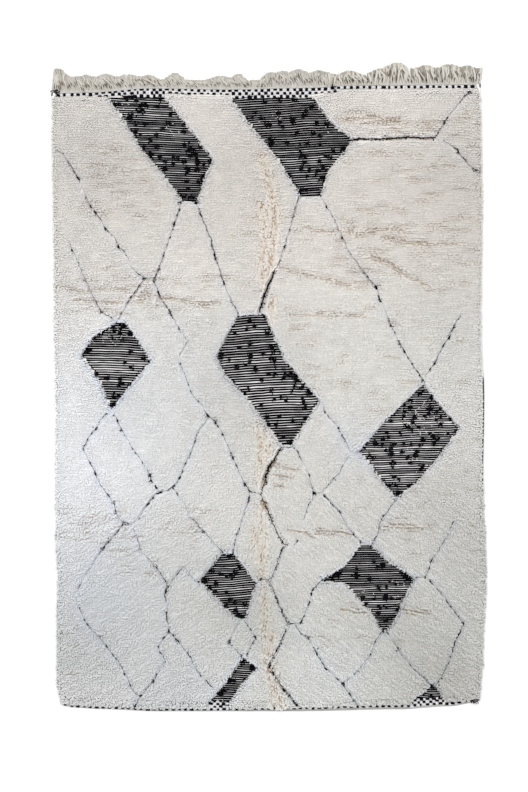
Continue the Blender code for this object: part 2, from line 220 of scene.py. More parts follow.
# %% Black lines, in centimetres, with the width of each line in knots
BLACK_LINES = {
    "left_upper_chain": (1, [
        (-98.5, 110), (-95, 108), (-90, 100, 1), (-88, 96.5, 1), (-84, 86.5), (-82.5, 84, 1),
        (-80, 81, 1), (-75.5, 73.5, 2), (-71.5, 69.5), (-69.5, 65, 2), (-67, 63), (-63.5, 55.5),
        (-60.5, 52.5), (-57.5, 50.5, 1), (-53, 50.5)]),
    "to_first_lozenge": (1, [
        (-53, 50.5), (-51, 54.5, 1), (-50, 58), (-46.5, 66.5), (-44, 75.5, 1), (-41, 83), (-40, 86)]),
    "to_left_lozenge": (1, [(-57.5, 50.5), (-62.5, 43.5), (-65.5, 38.5), (-69.5, 31.5)]),
    "long_middle_left": (1, [
        (-53, 49, 1), (-50.5, 42.5, 1), (-47.5, 37.5), (-46, 35, 1), (-40, 25), (-37.5, 21),
        (-41, 15), (-40.5, 10), (-36.5, -0.5), (-34.5, -5), (-31, -8), (-28.5, -13, 2),
        (-24.5, -16, 3), (-21, -22, 1), (-18.5, -28), (-16.5, -32.5, 1), (-11, -45, 1),
        (-8.5, -48.5, 1), (-3.5, -49.5)]),
    "left_edge_chain": (1, [
        (-92.5, 67.5), (-91, 63.5, 1), (-87, 54.5), (-82.5, 44.5), (-77.5, 35, 1), (-70.5, 30.5)]),
    "left_lozenge_loop": (1, [
        (-74.5, -12), (-78, -15.5), (-80.5, -19.5, 1), (-83, -23), (-86, -28.5), (-81, -38.5),
        (-78, -45.5), (-71.5, -54, 1), (-70, -60.5), (-67, -63, 1), (-63.5, -63.5), (-60.5, -61.5),
        (-57.5, -56.5), (-53, -50.5), (-50.5, -48.5, 2), (-46.5, -48), (-42, -44), (-39.5, -37.5),
        (-35.5, -29.5), (-32.5, -20), (-27.5, -14)]),
    "left_lozenge_right": (1, [
        (-72, -12.5), (-70, -15.5, 1), (-68, -20, 1), (-63, -28.5), (-59.5, -33.5), (-56.5, -38),
        (-54.7, -41, 2), (-54.3, -43.5, 2), (-50.5, -48.5)]),
    "lower_left_out": (1, [
        (-67.5, -64, 1), (-70, -67), (-74, -72, 1), (-76.5, -74.5, 1), (-80, -79.5), (-85.5, -88),
        (-89.5, -96)]),
    "lower_left_back": (1, [
        (-88, -102), (-84.5, -109.5), (-80.5, -114), (-75, -120.5, 1), (-69.5, -127.5),
        (-67, -132.5), (-62.5, -141.5), (-59.5, -143.5), (-62, -148.5, 1)]),
    "lower_left_chain": (1, [
        (-62.5, -66), (-59.5, -75), (-54, -81.5), (-52, -84, 1), (-47.5, -90), (-47.5, -94.5, 1),
        (-48.5, -96.5), (-46.5, -101), (-47.5, -105, 1), (-46, -113, 2), (-42, -118, 1),
        (-39.5, -121), (-36, -125.5), (-34, -130), (-30.5, -135), (-25.5, -139.5)]),
    "lower_left_branch": (1, [
        (-46, -113), (-51, -120.5), (-50, -123, 1), (-47.5, -127.5), (-51, -132),
        (-53.5, -136.5, 1), (-59, -143.5)]),
    "to_lower_lozenge": (1, [(-47.5, -94.5), (-44.5, -89.5), (-39.5, -83), (-34, -90), (-32, -90.5)]),
    "from_crossing": (1, [
        (-44.5, -46.5), (-39, -54), (-37, -59), (-30, -67, 1), (-24, -73.5), (-21, -77)]),
    "down_to_lower_lozenge": (1, [
        (-8.5, -48.5), (-9, -52.5, 1), (-11.5, -59.5), (-15, -70), (-16.5, -76.5)]),
    "first_to_middle": (1.4, [
        (-32.5, 83.5), (-30, 76.5), (-26.5, 68.5), (-24.5, 59.5, 1), (-20.5, 48, 1), (-18, 41.5),
        (-14, 34)]),
    "second_to_middle": (1, [(14, 88), (11.5, 79), (7.5, 65, 1), (4.5, 56.5)]),
    "second_to_middle_end": (3, [(3, 54), (0, 47, 1), (-3, 39), (-4, 35)]),
    "long_right": (1, [
        (24, 88.5), (30, 79), (34.5, 69.5, 1), (37, 63.5), (46, 51, 1), (50, 46.5, 2), (52, 40, 1),
        (57, 28.5, 1), (61, 20, 1), (67, 10), (72, 3, 1)]),
    "right_arm": (1, [(72.5, 4.5), (77, 11, 1), (81, 19.5), (83.5, 23, 2), (85.5, 27.5, 1), (89, 33)]),
    "dark_bar": (3, [(39, 115), (45, 115), (50.5, 115), (59.5, 115.5), (64.5, 116), (71, 115.5)]),
    "dark_bar_end": (2, [(71, 115.5), (76.5, 115.5, 1)]),
    "bar_up": (1, [(77.5, 116.5), (80.5, 121), (81.5, 123, 1), (88.5, 132), (93, 137, 1)]),
    "bar_down": (1, [(81, 114.5), (87.5, 110, 1), (92, 104.5), (96, 100.5, 1), (99.5, 99.5)]),
    "middle_to_right": (1, [(25, -7), (26.5, -12), (32.5, -19), (38, -30), (42, -30)]),
    "right_back": (1, [
        (37, -32), (32.5, -40.5), (30.5, -42.5, 1), (24.5, -49), (21, -49.5, 1), (18.5, -40.5),
        (13.5, -30), (11, -27.5)]),
    "middle_down": (2, [
        (6, -28), (0, -37.5), (-3.5, -50), (0, -58), (3.5, -67), (7, -72.5), (9, -73.5)]),
    "middle_down_hook": (1, [(12, -73.5), (13.5, -71, 2)]),
    "stray": (1, [(21, -49.5), (19.5, -52.5, 1), (16, -62)]),
    "to_lower_right": (1, [(24.5, -49), (29, -53.5), (33, -58, 1), (36, -64.5), (43, -72.5)]),
    "down_left": (1.5, [(7, -73.5), (5, -79), (2, -87.5), (0, -89.5), (-5, -89.5)]),
    "down_right": (1.5, [(0, -89.5), (3, -95.5), (5, -101.5), (9, -110)]),
    "to_right_tip": (1, [(9, -110), (15, -109, 1), (18.5, -101, 1), (20.5, -94, 1), (24.5, -89.5)]),
    "down_to_end": (1.5, [(9, -111), (4.5, -120.5), (0, -129), (6, -138.5), (13.5, -148, 1)]),
    "lower_right_loop": (1, [
        (12, -110), (15.5, -115), (18.5, -116, 1), (21.5, -122, 1), (26, -130), (33, -136.5),
        (34.5, -137.5, 1), (40, -133), (46.5, -125), (50, -117.5), (53, -113)]),
    "last_to_end": (1, [(34.5, -137.5), (37.5, -142), (41, -147.5)]),
    "small_left": (1, [(-13.5, -108.5), (-17.5, -116.5), (-18.5, -118, 1), (-12.5, -125)]),
    "small_right": (1, [(-11, -108.5), (-6, -116, 1), (-9.5, -123.5)]),
    "right_tip_up": (1, [
        (68, -88.5), (73, -88, 1), (75.5, -80.5, 2), (81, -72.5), (85.5, -63.5, 1), (86.5, -61.5)]),
    "right_tip_down": (1, [
        (74.5, -89.5), (80.5, -96.5), (88.5, -107), (90.5, -110, 1), (87, -117.5, 1),
        (83, -129.5), (78.5, -137.5, 1)]),
    "to_corner": (1, [(54.5, -113), (60, -121.5, 1), (66.5, -130), (73, -136), (75.5, -138.5)]),
    "first_point": (1.4, [(-41.5, 85.6, 1), (-39.3, 86.9), (-36.5, 86.6), (-33.2, 85.4, 1)]),
    "second_point": (1.3, [(14.3, 88.9), (17, 88.5), (20, 88.8), (24.4, 88.5)]),
    "right_lozenge_down": (1, [(59, -52), (53.5, -60, 1), (52, -62, 1), (50.5, -68.5), (48, -73)]),
}

# %% [markdown]
# Where the rug was folded or bent, the pile falls open in a parting and shows the warmer wool at its
# roots, which is painted warmer and darker, partly as painted shade. Combed partings run along the
# middle and lay the wool down beside them. Row partings open between two rows of knots.

# %% Partings, in centimetres
COMBED_PARTINGS = [
    [(-3, 108), (0, 98), (0.7, 92), (2.6, 85), (2.6, 77), (2, 68), (1.4, 59), (-0.5, 53)],
    [(-3.5, 85), (-1.6, 77), (-1.6, 71), (-2.2, 62), (-2.8, 56), (-2.2, 50)],
    [(0.9, 41), (1.2, 31)],
    [(-5.2, -17.7), (-4, -21), (-2.8, -26), (-3.5, -33), (-4, -43)],
    [(-2.2, -19.5), (-1.2, -26), (0.2, -31), (-1.6, -38)],
    [(-3.5, -55), (-4, -59), (-2.8, -64.5), (-2.2, -69.5), (-3.5, -75.5), (-2.2, -81), (-3, -88)],
    [(-5.8, -66), (-5.2, -72), (-4.9, -78)],
    [(-2.2, -93), (-1.6, -99), (-1.2, -104), (-1.6, -108.7), (-0.4, -116), (-1.2, -122)],
    [(0.5, -113), (1.4, -117), (0.2, -123)],
    [(-1, -125), (0.5, -133), (2, -141), (3, -147)],
    [(2, -128), (4, -138), (6, -147)],
]
ROW_PARTINGS = [
    [(31.4, 123.7), (39.5, 124.8), (48.5, 125.6), (55, 125), (60.7, 123.7)],
    [(43, 123), (51, 123), (59, 122.5)],
    [(10.8, 75.3), (15.6, 74), (19.8, 73), (27.5, 73), (31, 73.2)],
    [(36.4, 72.3), (42.3, 71.5), (52, 73.5), (64, 74)],
    [(53, 69), (64, 67.5), (75, 66.5), (87, 67)],
    [(5.4, 56.4), (11.4, 53.5), (18, 51.6), (28, 50.7), (32.2, 49.5), (42.3, 49), (52, 48)],
    [(47.7, 60.5), (56, 57), (65, 51.5), (74.6, 47.5)],
    [(9.7, 33.8), (15.6, 33.5), (21.5, 33.8), (45, 33.5)],
    [(9, 27.2), (15.6, 27.4)],
    [(1, -36), (8, -37.5), (14, -38)],
    [(2, -40), (9, -41.5), (15, -42.5)],
    [(1.5, -45), (8, -46)],
    [(8.5, -66), (16.8, -67), (20.2, -69.5), (25, -69.5), (33.5, -71.3)],
    [(21.5, -66.5), (33.5, -67), (39, -68.5)],
    [(53, -64.5), (62, -65), (72, -65.5)],
    [(59, -102.5), (68, -104), (75, -105)],
    [(33.5, -102.8), (39.3, -104.2), (45.2, -104.5)],
    [(-98, 47), (-85, 45), (-70, 46), (-55, 43)],
    [(-60, 40), (-45, 41), (-30, 39), (-22, 39.5)],
    [(-90, 41), (-75, 39.5), (-62, 41)],
]

# Where many short, slight partings open between the rows: left, right, low and high edge of the
# stretch, how many there are, and the longest one
SLIGHT_PARTINGS = [
    (30, 97, 44, 128, 110, 14),
    (-86, -53, 78, 113, 55, 9),
    (-75, -53, -88, -73, 12, 6),
    (5, 45, -5, 82, 44, 11),
    (-98, -55, 34, 56, 26, 12),
    (-58, -26, 30, 52, 16, 12),
    (-20, 12, 40, 84, 14, 9),
    (40, 97, -78, 40, 56, 9),
    (15, 60, -130, -95, 18, 8),
    (-98, -72, -135, -110, 12, 5),
    (-98, -62, -72, -56, 34, 8),
    (-52, -28, -68, -54, 14, 6),
]


def slight_partings():
    """Short level chains, set out by chance over the stretches above."""
    pick = np.random.default_rng(17)
    chains = []
    for left, right, low, high, number, longest in SLIGHT_PARTINGS:
        for _ in range(number):
            x, y = pick.uniform(left, right), pick.uniform(low, high)
            length = longest * pick.uniform(0.25, 1) ** 1.5
            rise = 0.05 * length * pick.normal()
            chains.append([(x, y), (x + length * 0.5, y + rise), (x + length, y + 0.4 * rise)])
    return chains


# %% [markdown]
# ## Camera, light and floor
# The rug was pictured from straight above. A long lens high over it keeps its sides straight, and the
# picture's long side runs along the rug. The light is a wide sun that comes from the fringed end, a
# little from the left, as large soft boxes give it, with a pale world all round.

# %% Camera
PICTURE_HEIGHT = 3.683
VIEW_CENTRE = (-0.021, -0.042)
LENS = 85.0
SENSOR = 36.0

scene = bpy.context.scene
camera = bpy.data.objects.new("camera", bpy.data.cameras.new("camera"))
camera.data.lens = LENS
camera.data.sensor_width = SENSOR
camera.data.clip_end = 60
distance = PICTURE_HEIGHT / 2 / (SENSOR / 2 / LENS)
camera.location = (*VIEW_CENTRE, distance)
scene.collection.objects.link(camera)
scene.camera = camera
print("camera", round(distance, 2), "m above the floor")

# %% Light
scene.view_settings.view_transform = "Standard"
scene.world = bpy.data.worlds.new("studio")
scene.world.use_nodes = True
sky = scene.world.node_tree.nodes["Background"]
sky.inputs["Color"].default_value = (0.97, 0.98, 1.0, 1)
sky.inputs["Strength"].default_value = 1.0

sun = bpy.data.objects.new("key", bpy.data.lights.new("key", "SUN"))
sun.data.energy = 1.15
sun.data.angle = math.radians(30)
sun.data.color = (1.0, 0.985, 0.96)
sun.rotation_euler = (math.radians(-35), math.radians(-12), 0)
scene.collection.objects.link(sun)

# %% [markdown]
# ## Small helpers
# One helper adds a node to any tree and links or sets its inputs. One makes smooth noise over the
# rug's plane, so that every irregularity comes from a named size and a fixed seed.


# %% Node helper
def add_node(tree, kind, inputs=None, **settings):
    """Adds a node. A socket among the inputs is linked, and any other value is set."""
    node = tree.nodes.new(kind)
    for name, value in settings.items():
        setattr(node, name, value)
    for key, value in (inputs or {}).items():
        if isinstance(value, bpy.types.NodeSocket):
            tree.links.new(value, node.inputs[key])
        else:
            node.inputs[key].default_value = value
    return node


def attribute_of(tree, name, output="Fac"):
    return add_node(tree, "ShaderNodeAttribute", attribute_name=name).outputs[output]


def mix_colours(tree, share, first, second, blend="MIX"):
    node = add_node(tree, "ShaderNodeMix", {0: share, 6: first, 7: second},
                    data_type="RGBA", blend_type=blend)
    return node.outputs[2]


def do_math(tree, operation, first, second=0.0, clamp=False):
    node = add_node(tree, "ShaderNodeMath", {0: first, 1: second}, operation=operation, use_clamp=clamp)
    return node.outputs[0]


def colour(*hundredths):
    return (*(value / 100 for value in hundredths), 1)


# %% Noise and nearness over the rug's plane
LATTICE = 256


def smooth_noise(x, y, size, seed):
    """Noise from -1 to 1 with features of the given size in metres."""
    lattice = np.random.default_rng(seed).uniform(-1, 1, (LATTICE, LATTICE))
    across = np.asarray(x, float) / size + LATTICE * 8
    along = np.asarray(y, float) / size + LATTICE * 8
    column, row = np.floor(across).astype(int), np.floor(along).astype(int)
    s, t = ease(across - column), ease(along - row)
    low = lattice[column % LATTICE, row % LATTICE] * (1 - s)
    low = low + lattice[(column + 1) % LATTICE, row % LATTICE] * s
    high = lattice[column % LATTICE, (row + 1) % LATTICE] * (1 - s)
    high = high + lattice[(column + 1) % LATTICE, (row + 1) % LATTICE] * s
    return low * (1 - t) + high * t


def streaks(x, y, rise, width, length, seed):
    """Noise drawn out along a direction that rises so many degrees to the right."""
    angle = math.radians(rise)
    along = x * math.cos(angle) + y * math.sin(angle)
    across = y * math.cos(angle) - x * math.sin(angle)
    return smooth_noise(along * width / length, across, width, seed)


def trace(points, step, wander, seed):
    """Even places along a chain of points in centimetres, wandering a little to each side of it."""
    corners = np.array([point[:2] for point in points], float) * CM
    runs = np.linalg.norm(np.diff(corners, axis=0), axis=1)
    reached = np.concatenate([[0], np.cumsum(runs)])
    places = np.linspace(0, reached[-1], max(2, round(reached[-1] / step) + 1))
    x = np.interp(places, reached, corners[:, 0])
    y = np.interp(places, reached, corners[:, 1])
    x = x + wander * smooth_noise(places, 0 * places, 0.016, seed)
    y = y + wander * smooth_noise(places, 0 * places + 7, 0.016, seed + 1)
    return np.column_stack([x, y])


def make_finder(chains):
    """A search tree over the places of several chains."""
    places = np.vstack(chains)
    tree = kdtree.KDTree(len(places))
    for number, (x, y) in enumerate(places):
        tree.insert((x, y, 0), number)
    tree.balance()
    return tree


def nearest(tree, x, y):
    """Three rows: distance to the nearest place in the tree, and the direction away from it."""
    found = np.empty((len(x), 3))
    for number, (px, py) in enumerate(zip(x.tolist(), y.tolist())):
        place, _, away = tree.find((px, py, 0))
        found[number] = (away, px - place.x, py - place.y)
    span = np.maximum(found[:, 0], 1e-6)
    return np.array((found[:, 0], found[:, 1] / span, found[:, 2] / span))


def near(distance, reach):
    """1 at no distance, falling softly to 0 past the reach."""
    return np.exp(-((distance / reach) ** 2))


def inside(outline, x, y):
    """Whether points lie inside an outline given in centimetres."""
    within = np.zeros(np.shape(x), bool)
    for (x1, y1), (x2, y2) in zip(outline, outline[1:] + outline[:1]):
        spans = (y1 * CM > y) != (y2 * CM > y)
        crossing = (x1 + (x2 - x1) * (y / CM - y1) / ((y2 - y1) or 1e-9)) * CM
        within ^= spans & (x < crossing)
    return within


def inside_any(outlines, x, y):
    return np.any([inside(corners, x, y) for corners in outlines], axis=0)


# %% Chains that the pile is set out from
LINE_STEP = 4.5 * MM
LINE_WANDER = 2.8 * MM

line_chains = {
    name: trace(points, LINE_STEP, LINE_WANDER, 100 + number)
    for number, (name, (_, points)) in enumerate(BLACK_LINES.items())
}
combed_chains = [trace(points, LINE_STEP, 5 * MM, 300 + n) for n, points in enumerate(COMBED_PARTINGS)]
slight_chains = [trace(points, LINE_STEP, 4.5 * MM, 600 + n) for n, points in enumerate(slight_partings())]
lozenge_edges = [trace(corners + corners[:1], LINE_STEP, 0, 500) for corners in LOZENGES.values()]
thick_chains = [line_chains[name] for name, (width, _) in BLACK_LINES.items() if width > 1.8]

# A row parting is one broken strand, with shorter pieces of two more beside it
STRANDS = ((0, -0.5), (14 * MM, 0.3), (-13 * MM, 0.3))
SHORTEST_RUN = 5


def runs_of(shown):
    """The runs of neighbouring places that are shown."""
    runs = np.split(np.arange(len(shown)), np.flatnonzero(np.diff(shown)) + 1)
    return [run for run in runs if shown[run[0]]]


row_chains = []
for number, points in enumerate(ROW_PARTINGS):
    for strand, (aside, closed) in enumerate(STRANDS):
        chain = trace(points, LINE_STEP, 2 * MM, 400 + 3 * number + strand)
        chain[:, 1] += aside
        opening = smooth_noise(chain[:, 0], chain[:, 0] * 0 + number, 0.06, 470 + strand)
        row_chains += [chain[run] for run in runs_of(opening > closed) if len(run) >= SHORTEST_RUN]

line_finder, combed_finder, row_finder, slight_finder, lozenge_finder, thick_finder = map(make_finder, (
    list(line_chains.values()), combed_chains, row_chains, slight_chains, lozenge_edges, thick_chains))
print("black line places", sum(len(chain) for chain in line_chains.values()))

# %% [markdown]
# ## Wool
# Undyed wool is matt, with soft fibres that catch a little light at grazing angles, which is what the
# shader's sheen is for. One function makes every wool. Its colour varies slowly over the rug, from
# lock to lock, and from a darker, warmer root of a lock to its paler tip; in the pile the darker root is
# partly the wool's own and partly painted shade low between the locks. The bump is drawn out along each
# lock's own length, which the locks carry as the attribute `lie`.


# %% Wool materials
def make_wool(name, tip, root=None, mottle=0.06, fibre=0.35, sheen=0.18, gloss=0.25):
    """A wool whose colour runs from root to tip, where a root is given, and varies over the cloth."""
    material = bpy.data.materials.new(name)
    material.use_nodes = True
    tree = material.node_tree
    shader = tree.nodes["Principled BSDF"]
    shader.inputs["Roughness"].default_value = 0.92
    shader.inputs["Sheen Weight"].default_value = sheen
    shader.inputs["Sheen Roughness"].default_value = 0.6
    shader.inputs["Specular IOR Level"].default_value = gloss

    place = add_node(tree, "ShaderNodeTexCoord").outputs["Object"]
    high_up = do_math(tree, "MULTIPLY", attribute_of(tree, "rise"), 1.45, clamp=True)
    wool = mix_colours(tree, high_up, root or tip, tip)
    for size, amount in ((35, 0.5), (220, 0.5)):
        grain = add_node(tree, "ShaderNodeTexNoise", {"Vector": place, "Scale": size, "Detail": 2.0})
        swing = do_math(tree, "SUBTRACT", grain.outputs["Fac"], 0.5)
        gain = do_math(tree, "MULTIPLY_ADD", swing, 2 * amount * mottle)
        gain.node.inputs[2].default_value = 1.0
        wool = mix_colours(tree, 1.0, wool, gain, "MULTIPLY")
    tree.links.new(wool, shader.inputs["Base Color"])

    lie = attribute_of(tree, "lie", "Vector")
    stretched = add_node(tree, "ShaderNodeMapping", {"Vector": lie, "Scale": (90, 1400, 1400)})
    fibres = add_node(tree, "ShaderNodeTexNoise",
                      {"Vector": stretched.outputs["Vector"], "Scale": 1.0, "Detail": 3.0})
    bump = add_node(tree, "ShaderNodeBump",
                    {"Height": fibres.outputs["Fac"], "Strength": fibre, "Distance": 1.2 * MM})
    tree.links.new(bump.outputs["Normal"], shader.inputs["Normal"])
    return material


def tint_pile(material, warm, cool, deep):
    """Adds the pile's tints: warm wool in the partings, partly painted shade; dark brown painted shade low on
    the locks in the combed partings; clean, cool wool by the black; and each place's colour gain.
    """
    tree = material.node_tree
    socket = tree.nodes["Principled BSDF"].inputs["Base Color"]
    wool = socket.links[0].from_socket
    low_down = do_math(tree, "SUBTRACT", 1.0, attribute_of(tree, "rise"), clamp=True)
    painted_crack_shade = do_math(tree, "MULTIPLY", attribute_of(tree, "deep"), low_down)
    # Painted shade: wool low in a parting is multiplied towards dark brown.
    wool = mix_colours(tree, painted_crack_shade, wool, deep, "MULTIPLY")
    wool = mix_colours(tree, attribute_of(tree, "warm"), wool, warm, "MULTIPLY")
    wool = mix_colours(tree, attribute_of(tree, "cool"), wool, cool, "MULTIPLY")
    wool = mix_colours(tree, 1.0, wool, attribute_of(tree, "shade", "Color"), "MULTIPLY")
    tree.links.new(wool, socket)


# The pile's root colour is darker and warmer than its tip: partly the wool's own, partly painted shade low
# between the locks.
pile_wool = make_wool(
    "pile_wool_cream", colour(84.5, 83, 80.5), colour(77, 74.5, 70), mottle=0.03, fibre=0.2)
# deep is a dark brown painted shade for the partings; warm is partly painted shade there.
tint_pile(pile_wool, warm=colour(98, 88, 74), cool=colour(97, 102, 113), deep=colour(46, 36, 27))
black_wool = make_wool(
    "black_wool", colour(0.45, 0.4, 0.6), colour(0.3, 0.25, 0.35), mottle=0.5, sheen=0, gloss=0.06)
print("wools", pile_wool.name, black_wool.name)

# %% Floor
FLOOR_SIZE = 40

floor_mesh = bpy.data.meshes.new("floor")
bm = bmesh.new()
bmesh.ops.create_grid(bm, x_segments=1, y_segments=1, size=FLOOR_SIZE / 2)
bm.to_mesh(floor_mesh)
bm.free()
floor = bpy.data.objects.new("floor", floor_mesh)
scene.collection.objects.link(floor)
floor_paint = bpy.data.materials.new("floor_paint")
floor_paint.use_nodes = True
floor_shader = floor_paint.node_tree.nodes["Principled BSDF"]
floor_shader.inputs["Base Color"].default_value = colour(93, 93, 93)
floor_shader.inputs["Roughness"].default_value = 0.9
floor_shader.inputs["Specular IOR Level"].default_value = 0.1
floor_mesh.materials.append(floor_paint)
floor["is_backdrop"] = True

# %% [markdown]
# ## Locks of wool
# A knot leaves a short lock of wool standing out of the cloth. It rises, bends over under its own
# weight and ends in a soft point. There are tens of thousands of them, so a lock has only six faces,
# and Geometry Nodes set one on each knot's place, turned and sized by the place's attributes.


# %% Attributes that a material or a tree reads
def set_attribute(mesh, name, values):
    """Stores a whole number, a number or a vector on each point of a mesh."""
    values = np.asarray(values)
    kind = "FLOAT" if values.ndim == 1 else "FLOAT_VECTOR"
    if values.dtype.kind in "iu":
        kind = "INT"
    data = mesh.attributes.new(name, kind, "POINT").data
    data.foreach_set("vector" if kind == "FLOAT_VECTOR" else "value", np.ravel(values))


# %% Lock shapes
LOCK_SIDES = 3
WIDEST_AT = 0.78


def make_lock(name, length, width, thickness, bend, curl):
    """A bent lock, pointed at both ends, that rises from the origin and leans towards +X."""
    radius = length / bend

    def axis(share):
        angle = bend * share
        centre = (radius * (1 - math.cos(angle)), curl * share * share, radius * math.sin(angle))
        return np.array(centre), np.array((math.cos(angle), 0, -math.sin(angle)))

    centre, inward = axis(WIDEST_AT)
    points, lies = [axis(0.0)[0]], [(0, 0, 0)]
    for side in range(LOCK_SIDES):
        angle = 2 * math.pi * side / LOCK_SIDES
        deep, across = math.cos(angle) * thickness / 2, math.sin(angle) * width / 2
        points.append(centre + inward * deep + np.array((0, across, 0)))
        lies.append((WIDEST_AT * length, across, deep))
    points.append(axis(1.0)[0])
    lies.append((length, 0, 0))

    faces = []
    for side in range(LOCK_SIDES):
        here, ahead = 1 + side, 1 + (side + 1) % LOCK_SIDES
        faces += [(0, ahead, here), (here, ahead, LOCK_SIDES + 1)]

    mesh = bpy.data.meshes.new(name)
    mesh.from_pydata([tuple(point) for point in points], [], faces)
    set_attribute(mesh, "lie", lies)
    set_attribute(mesh, "rise", [lie[0] / length for lie in lies])
    mesh.shade_smooth()
    return bpy.data.objects.new(name, mesh)


def gather(name, shapes):
    """Puts shapes in a collection of their own, which only the node trees read."""
    collection = bpy.data.collections.new(name)
    for shape in shapes:
        collection.objects.link(shape)
    return collection


LOCK_LENGTH = 22 * MM
LOCK_WIDTH = 14.5 * MM
LOCK_THICKNESS = 8 * MM

lock_shapes = gather("lock_shapes", [
    make_lock("lock_a", LOCK_LENGTH, LOCK_WIDTH, LOCK_THICKNESS, 0.85, 1.5 * MM),
    make_lock("lock_b", LOCK_LENGTH, LOCK_WIDTH, LOCK_THICKNESS, 0.95, -1.5 * MM),
    make_lock("lock_c", LOCK_LENGTH, LOCK_WIDTH * 0.9, LOCK_THICKNESS, 0.75, -1 * MM),
    make_lock("lock_d", LOCK_LENGTH, LOCK_WIDTH * 1.1, LOCK_THICKNESS, 0.90, 2 * MM),
])
LOCK_KINDS = len(lock_shapes.objects)


# %% A tree that sets shapes on points
def start_tree(name, inputs):
    """A Geometry Nodes group with a geometry input and output and the named inputs."""
    tree = bpy.data.node_groups.new(name, "GeometryNodeTree")
    tree.interface.new_socket("Geometry", in_out="INPUT", socket_type="NodeSocketGeometry")
    for label, kind in inputs.items():
        tree.interface.new_socket(label, in_out="INPUT", socket_type=kind)
    tree.interface.new_socket("Geometry", in_out="OUTPUT", socket_type="NodeSocketGeometry")
    return tree, tree.nodes.new("NodeGroupInput").outputs


def end_tree(tree, geometry, finish):
    """Ends a tree: instances made real, shaded smooth and given their material."""
    real = add_node(tree, "GeometryNodeRealizeInstances", {"Geometry": geometry})
    smooth = add_node(tree, "GeometryNodeSetShadeSmooth", {"Geometry": real.outputs["Geometry"]})
    dressed = add_node(tree, "GeometryNodeSetMaterial",
                       {"Geometry": smooth.outputs[0], "Material": finish})
    add_node(tree, "NodeGroupOutput", {0: dressed.outputs[0]})


def named(tree, name, kind="FLOAT"):
    node = add_node(tree, "GeometryNodeInputNamedAttribute", {"Name": name}, data_type=kind)
    return node.outputs["Attribute"]


def store(tree, geometry, name, value, vector=False):
    """Stores a value on the points of a geometry, for a material or a later node to read."""
    kind = "FLOAT_VECTOR" if vector else "FLOAT"
    node = add_node(tree, "GeometryNodeStoreNamedAttribute",
                    {"Geometry": geometry, "Name": name, "Value": value}, data_type=kind)
    return node.outputs[0]


planting, given = start_tree("planting", {
    "Shapes": "NodeSocketCollection", "Finish": "NodeSocketMaterial"})
shapes = add_node(planting, "GeometryNodeCollectionInfo",
                  {"Collection": given["Shapes"], "Separate Children": True, "Reset Children": True})
turn = add_node(planting, "FunctionNodeEulerToRotation", {0: named(planting, "turn", "FLOAT_VECTOR")})
planted = add_node(planting, "GeometryNodeInstanceOnPoints", {
    "Points": given["Geometry"],
    "Instance": shapes.outputs[0],
    "Pick Instance": True,
    "Instance Index": named(planting, "kind", "INT"),
    "Rotation": turn.outputs[0],
    "Scale": named(planting, "size", "FLOAT_VECTOR"),
})
end_tree(planting, planted.outputs["Instances"], given["Finish"])
print("tree", planting.name, "with", len(planting.nodes), "nodes")


# %% Making points and growing a tree on them
def make_points(name, places, edges=(), **attributes):
    """A mesh of points, or of chains of points, that carries attributes for a tree to read."""
    mesh = bpy.data.meshes.new(name)
    mesh.from_pydata(np.asarray(places, float).tolist(), list(edges), [])
    for label, values in attributes.items():
        set_attribute(mesh, label, values)
    return bpy.data.objects.new(name, mesh)


def grow(source, tree, values, spent):
    """Runs a tree on a source and returns the result as a plain mesh object, rid of spent attributes."""
    scene.collection.objects.link(source)
    modifier = source.modifiers.new(tree.name, "NODES")
    modifier.node_group = tree
    inputs = [item for item in tree.interface.items_tree if item.in_out == "INPUT"]
    sockets = {item.name: item.identifier for item in inputs}
    for label, value in values.items():
        modifier[sockets[label]] = value
    depsgraph = bpy.context.evaluated_depsgraph_get()
    mesh = bpy.data.meshes.new_from_object(
        source.evaluated_get(depsgraph), preserve_all_data_layers=True, depsgraph=depsgraph)
    name = source.name
    bpy.data.objects.remove(source)
    for label in spent:
        if label in mesh.attributes:
            mesh.attributes.remove(mesh.attributes[label])
    mesh.name = name
    piece = bpy.data.objects.new(name, mesh)
    piece.name = name
    scene.collection.objects.link(piece)
    print(name, sum(len(face.vertices) - 2 for face in mesh.polygons), "triangles")
    return piece


def plant(name, places, turn, size, kind, shapes, finish, **attributes):
    """Sets shapes on places, each with its own turn, size and kind."""
    points = make_points(name, places, turn=turn, size=size, kind=kind, **attributes)
    return grow(points, planting, {"Shapes": shapes, "Finish": finish}, ("turn", "size", "kind"))


def turned_flat(angles):
    """Turns that stay level."""
    return np.column_stack([0 * angles, 0 * angles, angles])


# %% [markdown]
# ## The pile
# Knots are tied in rows across the warps, so their places are a slightly uneven grid over the cloth,
# left out where the cloth is woven flat or a black knot takes the place. All locks lean towards the
# plain end, as pile does, with drifts. Beside a parting, a lozenge or the rim they lean away from it.

# %% Places of the knots
KNOT_PITCH = 6.35 * MM
ROW_PITCH = 7.9 * MM
ROW_SWAY = 2.2 * MM
COMB_SWAY = 3.2 * MM
HEM_WIDTH = [(-98, 1.9), (-80, 2.0), (-50, 2.1), (-14, 2.2), (14, 2.7), (50, 2.9), (78, 2.8), (98, 2.4)]
PILE_LIMIT = [
    (-100, 135.4), (-50, 135.4), (-46, 136.9), (-40, 136.9), (-35, 135.7), (22, 135.7),
    (30, 137.1), (36, 139.0), (62, 139.0), (78, 138.7), (98, 138.6),
]
SIDE_MARGIN = 7 * MM
ROW_OPENING = 1.8 * MM

chance = np.random.default_rng(7)


def pile_ends(x):
    """Where the pile starts and stops along Y."""
    low = plain_end_at(x) + read_table(HEM_WIDTH, x / CM) * CM
    high = read_table(PILE_LIMIT, x / CM) * CM
    return low, high


